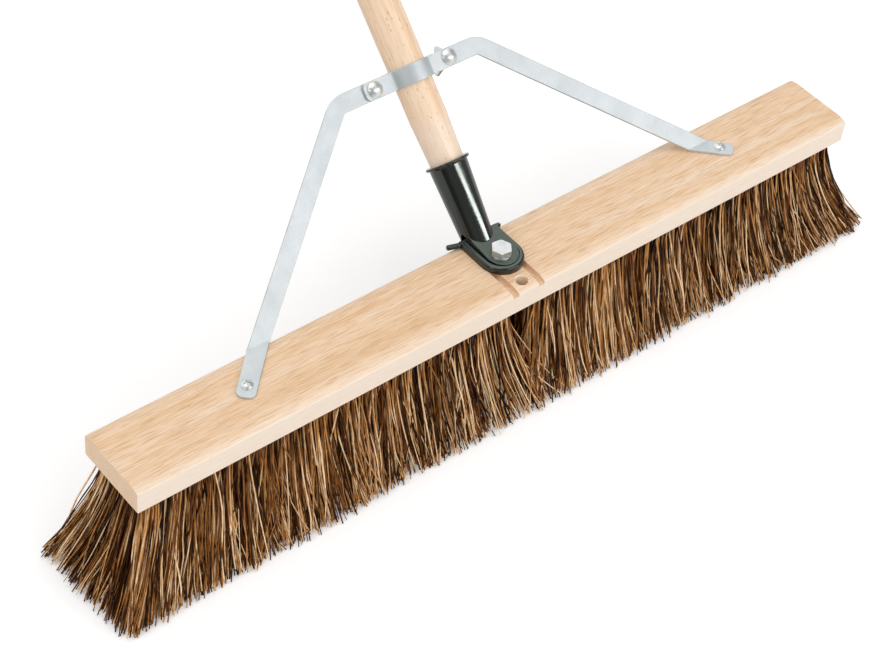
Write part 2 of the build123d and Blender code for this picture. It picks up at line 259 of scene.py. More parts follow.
def close_up(bm: BMesh) -> BMesh:
    """Merges doubled vertices and turns the faces outwards.

    Args:
        bm: The mesh.

    Returns:
        The same mesh.
    """
    bmesh.ops.remove_doubles(bm, verts=bm.verts, dist=WELD)
    bmesh.ops.recalc_face_normals(bm, faces=bm.faces)
    return bm


def extruded(bm: BMesh, offset: Sequence[float]) -> BMesh:
    """Extrudes a flat mesh to a solid.

    Args:
        bm: The flat mesh.
        offset: How far its faces go.

    Returns:
        The solid.
    """
    made = bmesh.ops.extrude_face_region(bm, geom=bm.faces, use_keep_orig=True)
    far = [part for part in made["geom"] if isinstance(part, bmesh.types.BMVert)]
    bmesh.ops.translate(bm, verts=far, vec=offset)
    return close_up(bm)


def cuboid(*size: float) -> BMesh:
    """Makes a box about the origin.

    Args:
        size: Its sizes along X, Y and Z.

    Returns:
        The box.
    """
    bm = bmesh.new()
    bmesh.ops.create_cube(bm, size=1.0)
    bmesh.ops.scale(bm, vec=size, verts=bm.verts)
    return bm


def joined(*parts: BMesh) -> BMesh:
    """Puts several meshes into the first one.

    Args:
        parts: The meshes. All but the first are used up.

    Returns:
        The first mesh.
    """
    whole = parts[0]
    for part in parts[1:]:
        spare = bpy.data.meshes.new("spare")
        part.to_mesh(spare)
        whole.from_mesh(spare)
        bpy.data.meshes.remove(spare)
        part.free()
    return whole


def moved(bm: BMesh, place: Matrix) -> BMesh:
    """Moves a whole mesh and returns it."""
    bmesh.ops.transform(bm, matrix=place, verts=bm.verts)
    return bm


def carve(body: BMesh, tool: BMesh, operation: str = "DIFFERENCE") -> BMesh:
    """Cuts one mesh with another.

    Args:
        body: The mesh that is cut, which is used up.
        tool: The cutter, which is used up.
        operation: DIFFERENCE or INTERSECT.

    Returns:
        The cut mesh.
    """
    holders = []
    for bm in (body, tool):
        mesh = bpy.data.meshes.new("carving")
        bm.to_mesh(mesh)
        bm.free()
        holders.append(shown("carving", mesh))
    cut = holders[0].modifiers.new("cut", "BOOLEAN")
    cut.operation = operation
    cut.solver = "EXACT"
    cut.object = holders[1]
    shape = holders[0].evaluated_get(bpy.context.evaluated_depsgraph_get())
    result = bmesh.new()
    result.from_mesh(shape.to_mesh())
    for holder in holders:
        bpy.data.meshes.remove(holder.data)
    return result


class Nib:
    """Draws with a vertex or an edge: a run is a straight extrusion, and a turn is a spin."""

    def __init__(self, *points: Sequence[float]) -> None:
        """Sets the nib down.

        Args:
            points: One point for a line, or two for a strip as wide as they are apart.
        """
        self.bm = bmesh.new()
        self.tip: list[Any] = [self.bm.verts.new(point) for point in points]
        if len(self.tip) == 2:
            self.tip.append(self.bm.edges.new(self.tip))

    def corners(self) -> list[bmesh.types.BMVert]:
        """Lists the vertices of the nib where it is now."""
        return [part for part in self.tip if isinstance(part, bmesh.types.BMVert)]

    def turn(
        self,
        centre: Sequence[float],
        axis: Sequence[float],
        angle: float,
        steps: int,
        drift: Sequence[float] = (0, 0, 0),
    ) -> "Nib":
        """Draws an arc.

        Args:
            centre: A point on the axis that the nib turns about.
            axis: The way that axis points.
            angle: The turn in degrees.
            steps: The number of facets in the arc.
            drift: How far the whole arc moves sideways.

        Returns:
            The nib.
        """
        made = bmesh.ops.spin(
            self.bm,
            geom=self.tip,
            cent=centre,
            axis=axis,
            dvec=Vector(drift) / steps,
            angle=math.radians(angle),
            steps=steps,
            use_merge=False,
        )
        self.tip = made["geom_last"]
        return self

    def run(self, *offset: float) -> "Nib":
        """Draws a straight line by an offset."""
        return self.turn((0, 0, 0), UP, 0.0, steps=1, drift=offset)

    def line_to(self, *point: float) -> "Nib":
        """Draws a straight line to a point."""
        return self.run(*(Vector(point) - self.corners()[0].co))

    def reach(self, heading: Vector, point: Vector, normal: Vector) -> "Nib":
        """Draws straight on until each corner of the nib comes to a plane.

        Args:
            heading: The way it goes.
            point: A point of the plane.
            normal: The plane's normal.

        Returns:
            The nib.
        """
        self.run(*heading)
        for corner in self.corners():
            corner.co += heading * ((point - corner.co).dot(normal) / heading.dot(normal))
        return self

    def closed(self, *offset: float) -> BMesh:
        """Fills a line that ends where it began and extrudes it to a solid.

        Args:
            offset: How far the filled face goes.

        Returns:
            The solid.
        """
        bmesh.ops.remove_doubles(self.bm, verts=self.bm.verts, dist=WELD)
        bmesh.ops.contextual_create(self.bm, geom=self.bm.edges)
        return extruded(self.bm, offset)

    def turned(self, steps: int) -> BMesh:
        """Turns the line about Z as on a lathe, X being the radius.

        Args:
            steps: The number of facets round it.

        Returns:
            The turned mesh.
        """
        bmesh.ops.spin(
            self.bm,
            geom=[*self.bm.verts, *self.bm.edges],
            cent=(0, 0, 0),
            axis=UP,
            angle=2 * math.pi,
            steps=steps,
            use_merge=True,
        )
        return close_up(self.bm)


# Finishes


@dataclass(frozen=True)
class Finish:
    """A surface finish: its name, and the slot of the record it stands for."""

    name: str
    slot: Slot

    def paint(self, mesh: bpy.types.Mesh) -> None:
        """Gives a mesh this finish alone, and makes its material the first time."""
        mesh.materials.clear()
        mesh.materials.append(bpy.data.materials.get(self.name) or self.make())

    def make(self) -> bpy.types.Material:
        """Makes the material."""
        raise NotImplementedError

    def surface(self, tree: Tree, inputs: dict[str | int, Any]) -> None:
        """Adds the surface shader and the output.

        Args:
            tree: The material's node tree.
            inputs: The shader's values and links.
        """
        shader = add_node(tree, "BsdfPrincipled", inputs)
        add_node(tree, "OutputMaterial", {"Surface": shader.outputs[0]})


@dataclass(frozen=True)
class Wood(Finish):
    """Straight-grained hardwood. Growth rings, fine pore lines and short dark rays run along it.

    A pattern's size is its width and its length. The pores are drawn coarser than real ones, to show.
    """

    grain: Grain
    pale: str
    mid: str
    deep: str
    fleck: str
    line_share: float
    fleck_share: float
    roughness: float
    coat: float = 0.0
    # Bare wood below a place along the grain; and painted light, the same pale colour on faces whose
    # normal's Y is in a span
    bare: str = WHITE
    bare_share: float = 0.5
    bare_below: float = -1000.0
    bare_fade: Pair = (-10.0, 2.0)
    front_light_share: float = 0.0
    front_light_facing: Pair = (-0.1, -0.7)
    # The rings' shares on the long faces and on the sawn ends, and the depth where that changes
    ring_shares: Pair = (0.12, 0.5)
    end: float = 2000.0
    end_skin: Pair = (0.6, 0.2)
    end_line_share: float = 0.1
    # The patterns
    ring: Pair = (4.2, 168.0)
    band: Pair = (6.0, 260.0)
    pore: Pair = (0.55, 15.0)
    pore_depth: float = 0.15
    pore_shine: float = 0.05
    pore_dulling: float = 0.08
    ray: Pair = (1.1, 5.0)

    def along(self, tree: Tree, place: Socket, size: Pair) -> Socket:
        """Adds coordinates that run along the grain.

        Args:
            tree: The material's node tree.
            place: The socket with the object's coordinates.
            size: The width and the length that come out as 1.

        Returns:
            The coordinates' socket.
        """
        across, lengthwise = (length * MM for length in size)
        turn = [math.radians(angle) for angle in self.grain.value]
        mapped = add_node(
            tree,
            "Mapping",
            {"Vector": place, "Rotation": turn, "Scale": (across, across, lengthwise)},
            vector_type="TEXTURE",
        )
        return mapped.outputs[0]

    def pattern(self, tree: Tree, place: Socket, size: Pair, detail: float) -> Socket:
        """Adds a noise stretched along the grain.

        Args:
            tree: The material's node tree.
            place: The socket with the object's coordinates.
            size: The width and the length of one streak.
            detail: The noise's detail.

        Returns:
            The noise's socket.
        """
        along = self.along(tree, place, size)
        return add_node(tree, "TexNoise", {"Vector": along, "Scale": 1.0, "Detail": detail}).outputs[0]

    def ring_share(self, tree: Tree, length: Socket) -> Socket:
        """Adds the share of the growth rings, which show most on the sawn ends.

        Args:
            tree: The material's node tree.
            length: The socket with the place along the grain in millimetres.

        Returns:
            The share's socket.
        """
        reach = add_node(tree, "Math", {0: length}, operation="ABSOLUTE")
        start, full = (self.end - depth for depth in self.end_skin)
        sides, ends = self.ring_shares
        share = add_node(
            tree,
            "MapRange",
            {
                "Value": reach.outputs[0],
                "From Min": start,
                "From Max": full,
                "To Min": sides,
                "To Max": ends,
            },
        )
        return share.outputs[0]

    def ground(self, tree: Tree, place: Socket, rings: Socket) -> Socket:
        """Adds the colour of the bands and the rings.

        Args:
            tree: The material's node tree.
            place: The socket with the object's coordinates.
            rings: The socket with the share of the rings.

        Returns:
            The colour's socket.
        """
        bands = self.pattern(tree, place, self.band, detail=2.0)
        waves = add_node(
            tree,
            "TexWave",
            {
                "Vector": self.along(tree, place, self.ring),
                "Scale": 0.5,
                "Distortion": 2.5,
                "Detail": 1.0,
                "Detail Scale": 0.6,
            },
            wave_type="RINGS",
            rings_direction="Z",
        )
        tone = add_node(
            tree,
            "Mix",
            {Mix.SHARE: rings, Mix.NUMBER_A: bands, Mix.NUMBER_B: waves.outputs["Fac"]},
            data_type="FLOAT",
        )
        colour = add_node(
            tree,
            "ValToRGB",
            {0: tone.outputs[0]},
            stops=((0.2, self.pale), (0.8, self.deep), (0.5, self.mid)),
        )
        return colour.outputs[0]

    def pore_lines(self, tree: Tree, pores: Socket, rings: Socket) -> Socket:
        """Adds the share of the pore lines, which are faint where the rings show most.

        Args:
            tree: The material's node tree.
            pores: The socket with the pores.
            rings: The socket with the share of the rings.

        Returns:
            The share's socket.
        """
        sides, ends = self.ring_shares
        share = add_node(
            tree,
            "MapRange",
            {
                "Value": rings,
                "From Min": sides,
                "From Max": ends,
                "To Min": self.line_share,
                "To Max": self.end_line_share,
            },
        )
        lines = add_node(
            tree,
            "MapRange",
            {"Value": pores, "From Min": 0.48, "From Max": 0.68, "To Max": share.outputs[0]},
        )
        return lines.outputs[0]

    def bare_and_lit_parts(self, tree: Tree, length: Socket, normal: Socket) -> Socket:
        """Adds the share of the pale colour: bare wood at the lower end, and painted light on faces that
        look to the front.

        Args:
            tree: The material's node tree.
            length: The socket with the place along the grain in millimetres.
            normal: The socket with the object's normals.

        Returns:
            The share's socket.
        """
        full, none = (self.bare_below + step for step in self.bare_fade)
        low = add_node(
            tree,
            "MapRange",
            {
                "Value": length,
                "From Min": full,
                "From Max": none,
                "To Min": self.bare_share,
                "To Max": 0.0,
            },
        )
        # Painted light: faces that look to the front are made paler
        facing = add_node(tree, "SeparateXYZ", {0: normal})
        start, square = self.front_light_facing
        front_lit = add_node(
            tree,
            "MapRange",
            {
                "Value": facing.outputs["Y"],
                "From Min": start,
                "From Max": square,
                "To Max": self.front_light_share,
            },
        )
        both = add_node(tree, "Math", {0: low.outputs[0], 1: front_lit.outputs[0]}, operation="ADD")
        return both.outputs[0]

    def make(self) -> bpy.types.Material:
        """Makes the wood.

        Returns:
            The material.
        """
        material, tree = new_material(self.name)
        coordinates = add_node(tree, "TexCoord").outputs
        place = coordinates["Object"]
        pores = self.pattern(tree, place, self.pore, detail=2.0)
        rays = self.pattern(tree, place, self.ray, detail=1.0)
        length = add_node(tree, "SeparateXYZ", {0: self.along(tree, place, (1.0, 1.0))}).outputs["Z"]
        rings = self.ring_share(tree, length)
        dots = add_node(
            tree,
            "MapRange",
            {"Value": rays, "From Min": 0.68, "From Max": 0.76, "To Max": self.fleck_share},
        )
        colour = self.ground(tree, place, rings)
        for share, tint in (
            (self.pore_lines(tree, pores, rings), self.fleck),
            # Bare wood at the lower end, and painted light on faces that look to the front
            (self.bare_and_lit_parts(tree, length, coordinates["Normal"]), self.bare),
            (dots.outputs[0], self.fleck),
        ):
            mixed = add_node(
                tree,
                "Mix",
                {Mix.SHARE: share, Mix.COLOUR_A: colour, Mix.COLOUR_B: linear(tint)},
                data_type="RGBA",
            )
            colour = mixed.outputs[MIXED_COLOUR]
        rough = add_node(
            tree,
            "MapRange",
            {
                "Value": pores,
                "From Min": 0.3,
                "From Max": 0.7,
                "To Min": self.roughness - self.pore_shine,
                "To Max": self.roughness + self.pore_dulling,
            },
        )
        relief = add_node(
            tree, "Bump", {"Strength": 0.25, "Distance": self.pore_depth * MM, "Height": pores}
        )
        self.surface(
            tree,
            {
                "Base Color": colour,
                "Roughness": rough.outputs[0],
                "Normal": relief.outputs[0],
                "Coat Weight": self.coat,
                "Coat Roughness": 0.18,
            },
        )
        return material


@dataclass(frozen=True)
class PlantFibre(Finish):
    """Palm fibre, combed and cut: stiff and dry, each strand its own brown, with painted shade towards its
    root under the block.
    """

    dark: str
    brown: str
    tan: str
    straw: str
    mottle: Pair = (2.0, 14.0)
    mottle_tone: float = 0.1
    # Painted shade: the tone falls over this span of heights towards the root, where the block shades the
    # fibres
    root: Pair = (52.0, 84.0)
    painted_root_shade: float = -0.16

    def make(self) -> bpy.types.Material:
        """Makes the fibre.

        Returns:
            The material.
        """
        material, tree = new_material(self.name)
        place = add_node(tree, "TexCoord").outputs["Object"]
        across, along = (length * MM for length in self.mottle)
        mapped = add_node(
            tree, "Mapping", {"Vector": place, "Scale": (across, across, along)}, vector_type="TEXTURE"
        )
        noise = add_node(tree, "TexNoise", {"Vector": mapped.outputs[0], "Scale": 1.0, "Detail": 2.0})
        wander = add_node(
            tree,
            "MapRange",
            {
                "Value": noise.outputs[0],
                "From Min": 0.25,
                "From Max": 0.75,
                "To Min": -self.mottle_tone,
                "To Max": self.mottle_tone,
            },
        )
        height = add_node(tree, "SeparateXYZ", {0: place}).outputs["Z"]
        low, high = (length * MM for length in self.root)
        root_shaded = add_node(
            tree,
            "MapRange",
            {"Value": height, "From Min": low, "From Max": high, "To Max": self.painted_root_shade},
        )
        tone = add_node(tree, "Attribute", attribute_name=TONE).outputs["Fac"]
        # The random mottle, and the painted shade near the root
        for change in (wander, root_shaded):
            tone = add_node(tree, "Math", {0: tone, 1: change.outputs[0]}, operation="ADD").outputs[0]
        colour = add_node(
            tree,
            "ValToRGB",
            {0: tone},
            stops=((0.0, self.dark), (1.0, self.straw), (0.42, self.brown), (0.78, self.tan)),
        )
        self.surface(
            tree, {"Base Color": colour.outputs[0], "Roughness": 0.36, "Specular IOR Level": 0.12}
        )
        return material


@dataclass(frozen=True)
class BlackGloss(Finish):
    """Gloss black enamel on pressed steel: deep black with a faint ripple and hard reflections."""

    colour: str
    worn: str
    dust_and_sheen: str
    cast: str
    ripple: float = 2.2
    ripple_depth: float = 0.1
    patch: float = 14.0
    level: Pair = (0.95, 0.995)

    def make(self) -> bpy.types.Material:
        """Makes the paint.

        Returns:
            The material.
        """
        material, tree = new_material(self.name)
        coordinates = add_node(tree, "TexCoord").outputs
        place = coordinates["Object"]
        peel, wear = (
            add_node(tree, "TexNoise", {"Vector": place, "Scale": 1 / (size * MM), "Detail": detail})
            for size, detail in ((self.ripple, 2.0), (self.patch, 5.0))
        )
        share = add_node(
            tree,
            "MapRange",
            {"Value": wear.outputs[0], "From Min": 0.4, "From Max": 0.75, "To Max": 0.6},
        )
        # Level faces turn grey: dust, and a painted sheen of the bright room they mirror
        facing = add_node(tree, "SeparateXYZ", {0: coordinates["Normal"]})
        start, full = self.level
        level = add_node(
            tree, "MapRange", {"Value": facing.outputs["Z"], "From Min": start, "From Max": full}
        )
        colour = linear(self.colour)
        for cover, tint in ((share, self.worn), (level, self.dust_and_sheen)):
            mixed = add_node(
                tree,
                "Mix",
                {Mix.SHARE: cover.outputs[0], Mix.COLOUR_A: colour, Mix.COLOUR_B: linear(tint)},
                data_type="RGBA",
            )
            colour = mixed.outputs[MIXED_COLOUR]
        rough = add_node(
            tree,
            "MapRange",
            {"Value": wear.outputs[0], "From Min": 0.3, "From Max": 0.75, "To Min": 0.06, "To Max": 0.14},
        )
        relief = add_node(
            tree,
            "Bump",
            {"Strength": 0.12, "Distance": self.ripple_depth * MM, "Height": peel.outputs[0]},
        )
        self.surface(
            tree,
            {
                "Base Color": colour,
                "Roughness": rough.outputs[0],
                "Normal": relief.outputs[0],
                "Specular IOR Level": 0.62,
                "Specular Tint": linear(self.cast),
                "Coat Weight": 0.35,
                "Coat Roughness": 0.03,
            },
        )
        return material


@dataclass(frozen=True)
class BareSteel(Finish):
    """Zinc-coated steel: bright and cool, with cloudy patches of the coating and fine scuffs."""

    bright: str
    dull: str
    roughness: Pair
    cloud: float
    scuff: float
    relief: float
    scuff_depth: float = 0.05

    def make(self) -> bpy.types.Material:
        """Makes the steel.

        Returns:
            The material.
        """
        material, tree = new_material(self.name)
        place = add_node(tree, "TexCoord").outputs["Object"]
        clouds, scuffs = (
            add_node(tree, "TexNoise", {"Vector": place, "Scale": 1 / (size * MM), "Detail": detail})
            for size, detail in ((self.cloud, 4.0), (self.scuff, 3.0))
        )
        share = add_node(
            tree, "MapRange", {"Value": clouds.outputs[0], "From Min": 0.35, "From Max": 0.7}
        )
        colour = add_node(
            tree,
            "Mix",
            {
                Mix.SHARE: share.outputs[0],
                Mix.COLOUR_A: linear(self.bright),
                Mix.COLOUR_B: linear(self.dull),
            },
            data_type="RGBA",
        )
        smooth, coarse = self.roughness
        rough = add_node(
            tree,
            "MapRange",
            {
                "Value": scuffs.outputs[0],
                "From Min": 0.3,
                "From Max": 0.7,
                "To Min": smooth,
                "To Max": coarse,
            },
        )
        relief = add_node(
            tree,
            "Bump",
            {"Strength": self.relief, "Distance": self.scuff_depth * MM, "Height": scuffs.outputs[0]},
        )
        self.surface(
            tree,
            {
                "Base Color": colour.outputs[MIXED_COLOUR],
                "Metallic": 1.0,
                "Roughness": rough.outputs[0],
                "Normal": relief.outputs[0],
            },
        )
        return material


# The block is bare sanded beech, pale pink-buff with fine short pores; its front faces get painted light, a
# paler colour.
BLOCK_BEECH = Wood(
    "sanded_beech",
    Slot.BLOCK_WOOD,
    Grain.ALONG_BLOCK,
    pale="#F2DBC3",
    mid="#EDCDAB",
    deep="#E5C098",
    fleck="#CB9459",
    line_share=0.68,
    fleck_share=0.2,
    roughness=0.6,
    # Painted light: the pale colour laid on the faces that look to the front
    bare="#FCF0E2",
    front_light_share=0.72,
    end=305.0,
)
# The handle is turned beech under thin clear lacquer: warmer, softly shining, and bare at its lower end.
HANDLE_BEECH = Wood(
    "lacquered_beech",
    Slot.HANDLE_WOOD,
    Grain.ALONG_HANDLE,
    pale="#F8DFC4",
    mid="#F4D4B3",
    deep="#E6C098",
    fleck="#A8703F",
    line_share=0.22,
    fleck_share=0.7,
    roughness=0.42,
    coat=0.35,
    bare="#F1DECD",
    bare_below=178.5,
)
# The bristles are brown palm fibre, from near black to straw.
FIBRE = PlantFibre(
    "palm_fibre",
    Slot.PLANT_FIBRE,
    dark="#1C0800",
    brown="#74431A",
    tan="#CA9052",
    straw="#FFE1B6",
)
# The socket and its plate are dipped in gloss black, faintly green, and grey where level: dust, and a
# painted sheen of the bright room that level faces mirror.
ENAMEL = BlackGloss(
    "black_enamel",
    Slot.BLACK_PAINT,
    colour="#0B0D0A",
    worn="#151814",
    # Dust and painted sheen on level faces
    dust_and_sheen="#485049",
    cast="#F4FFF7",
)
# The brace is galvanised bar, a dull silver grey with faint clouds in its zinc.
GALVANISED = BareSteel(
    "galvanised_steel",
    Slot.GALVANISED_BAR,
    bright="#DBE0E2",
    dull="#D0D6D8",
    roughness=(0.5, 0.64),
    cloud=16.0,
    scuff=1.4,
    relief=0.12,
)
# The bolts, nuts, washers and screws are zinc plated, brighter and smoother.
ZINC = BareSteel(
    "zinc_plated_steel",
    Slot.ZINC_HARDWARE,
    bright="#ECEFED",
    dull="#DADEDC",
    roughness=(0.28, 0.38),
    cloud=6.0,
    scuff=0.9,
    relief=0.04,
)


# Sub-assemblies


def block_top() -> float:
    """Gives the height of the top of the block."""
    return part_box("brush_block")[1].z / MM


@dataclass
class SubAssembly:
    """A group of pieces that is built and dressed together."""

    def build(self) -> None:
        """Builds and dresses the pieces."""
        raise NotImplementedError

    def piece(
        self,
        name: str,
        bm: BMesh,
        finish: Finish,
        *nodes: str,
        body: str = BROOM,
        place: Matrix | None = None,
        crease: float = 38.0,
    ) -> bpy.types.Object:
        """Finishes a mesh as a piece of the broom.

        Args:
            name: The piece's name.
            bm: Its mesh in millimetres, which is used up.
            finish: Its surface.
            nodes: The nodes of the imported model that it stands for.
            body: The body it moves with.
            place: Where it goes.
            crease: Edges sharper than this many degrees stay sharp.

        Returns:
            The piece.
        """
        moved(bm, Matrix.Scale(MM, 4) @ (place or Matrix()))
        mesh = bpy.data.meshes.new(name)
        bm.to_mesh(mesh)
        bm.free()
        mesh.shade_smooth()
        mesh.set_sharp_from_angle(angle=math.radians(crease))
        piece = self.dress(name, mesh, finish, nodes, body)
        level = piece.modifiers.new("level_faces", "WEIGHTED_NORMAL")
        level.keep_sharp = True
        return piece

    def dress(
        self, name: str, mesh: bpy.types.Mesh, finish: Finish, nodes: Iterable[str], body: str
    ) -> bpy.types.Object:
        """Links a mesh as a piece with its finish, its body and the nodes that it stands for.

        Args:
            name: The piece's name.
            mesh: Its mesh in metres.
            finish: Its surface.
            nodes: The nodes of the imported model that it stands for.
            body: The body it moves with.

        Returns:
            The piece.
        """
        piece = shown(name, mesh)
        finish.paint(mesh)
        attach(piece, body)
        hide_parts(*nodes)
        LOG.info("%s: %d faces, rides on %s", name, len(mesh.polygons), body)
        return piece

    def keep(self, node: str, finish: Finish) -> None:
        """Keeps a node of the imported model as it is, with a finish of its own.

        Args:
            node: The node's name.
            finish: Its surface.
        """
        finish.paint(frame["nodes"][node].data)
        LOG.info("%s: kept", node)


@dataclass
class BroomHead(SubAssembly):
    """The beech block, with its rounded shoulders, two grooves and a spare bolt hole."""

    # The section
    shoulder: float = 9.0
    shoulder_drop: float = 2.2
    edge: float = 0.7
    # The grooves
    groove_x: float = 11.0
    groove_width: float = 5.0
    groove_depth: float = 4.0
    groove_back: float = -2.0
    groove_round: float = 0.9
    groove_overrun: float = 10.0
    # The spare hole
    hole_y: float = -20.4
    hole_radius: float = 4.25
    countersink: float = 1.2
    drill_overrun: Pair = (5.0, 4.0)

    def build(self) -> None:
        """Builds the block from its section, then cuts the grooves and the hole."""
        low, high = (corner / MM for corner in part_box("brush_block"))
        half, top, under = high.y, high.z, low.z
        flat = half - self.shoulder
        side = top - self.shoulder_drop - under
        bend, sweep = ball_of_cap(self.shoulder, self.shoulder_drop)
        pen = Nib((low.x, -half, under)).run(0, 2 * half, 0).run(0, 0, side)
        pen.turn((0, flat, top - bend), (1, 0, 0), sweep, steps=8).run(0, -2 * flat, 0)
        pen.turn((0, -flat, top - bend), (1, 0, 0), sweep, steps=8).run(0, 0, -side)
        block = pen.closed(high.x - low.x, 0, 0)
        soften(block, self.edge, angle=25.0)
        for side_of_middle in Side:
            block = carve(block, self.groove(side_of_middle, -half, top))
        block = carve(block, self.drill(under, top))
        self.piece("block", block, BLOCK_BEECH, "brush_block", crease=30.0)

    def groove(self, side: Side, front: float, top: float) -> BMesh:
        """Makes the cutter of one groove.

        Args:
            side: The side of the middle it lies on.
            front: The front of the block.
            top: The top of the block.

        Returns:
            The cutter.
        """
        length = self.groove_back - front + self.groove_overrun
        cutter = cuboid(self.groove_width, length, 2 * self.groove_depth)
        soften(cutter, self.groove_round, segments=4)
        middle = (side.value * self.groove_x, self.groove_back - length / 2, top)
        return moved(cutter, Matrix.Translation(middle))

    def drill(self, under: float, top: float) -> BMesh:
        """Makes the cutter of the spare hole.

        Args:
            under: The underside of the block.
            top: The top of the block.

        Returns:
            The cutter.
        """
        below, above = self.drill_overrun
        pen = Nib((0, 0, under - below)).run(self.hole_radius, 0, 0)
        pen.run(0, 0, top - under + below - self.countersink / 2)
        pen.run(self.countersink, 0, self.countersink).run(0, 0, above)
        pen.run(-self.hole_radius - self.countersink, 0, 0)
        return moved(pen.turned(steps=40), Matrix.Translation((0, self.hole_y, 0)))


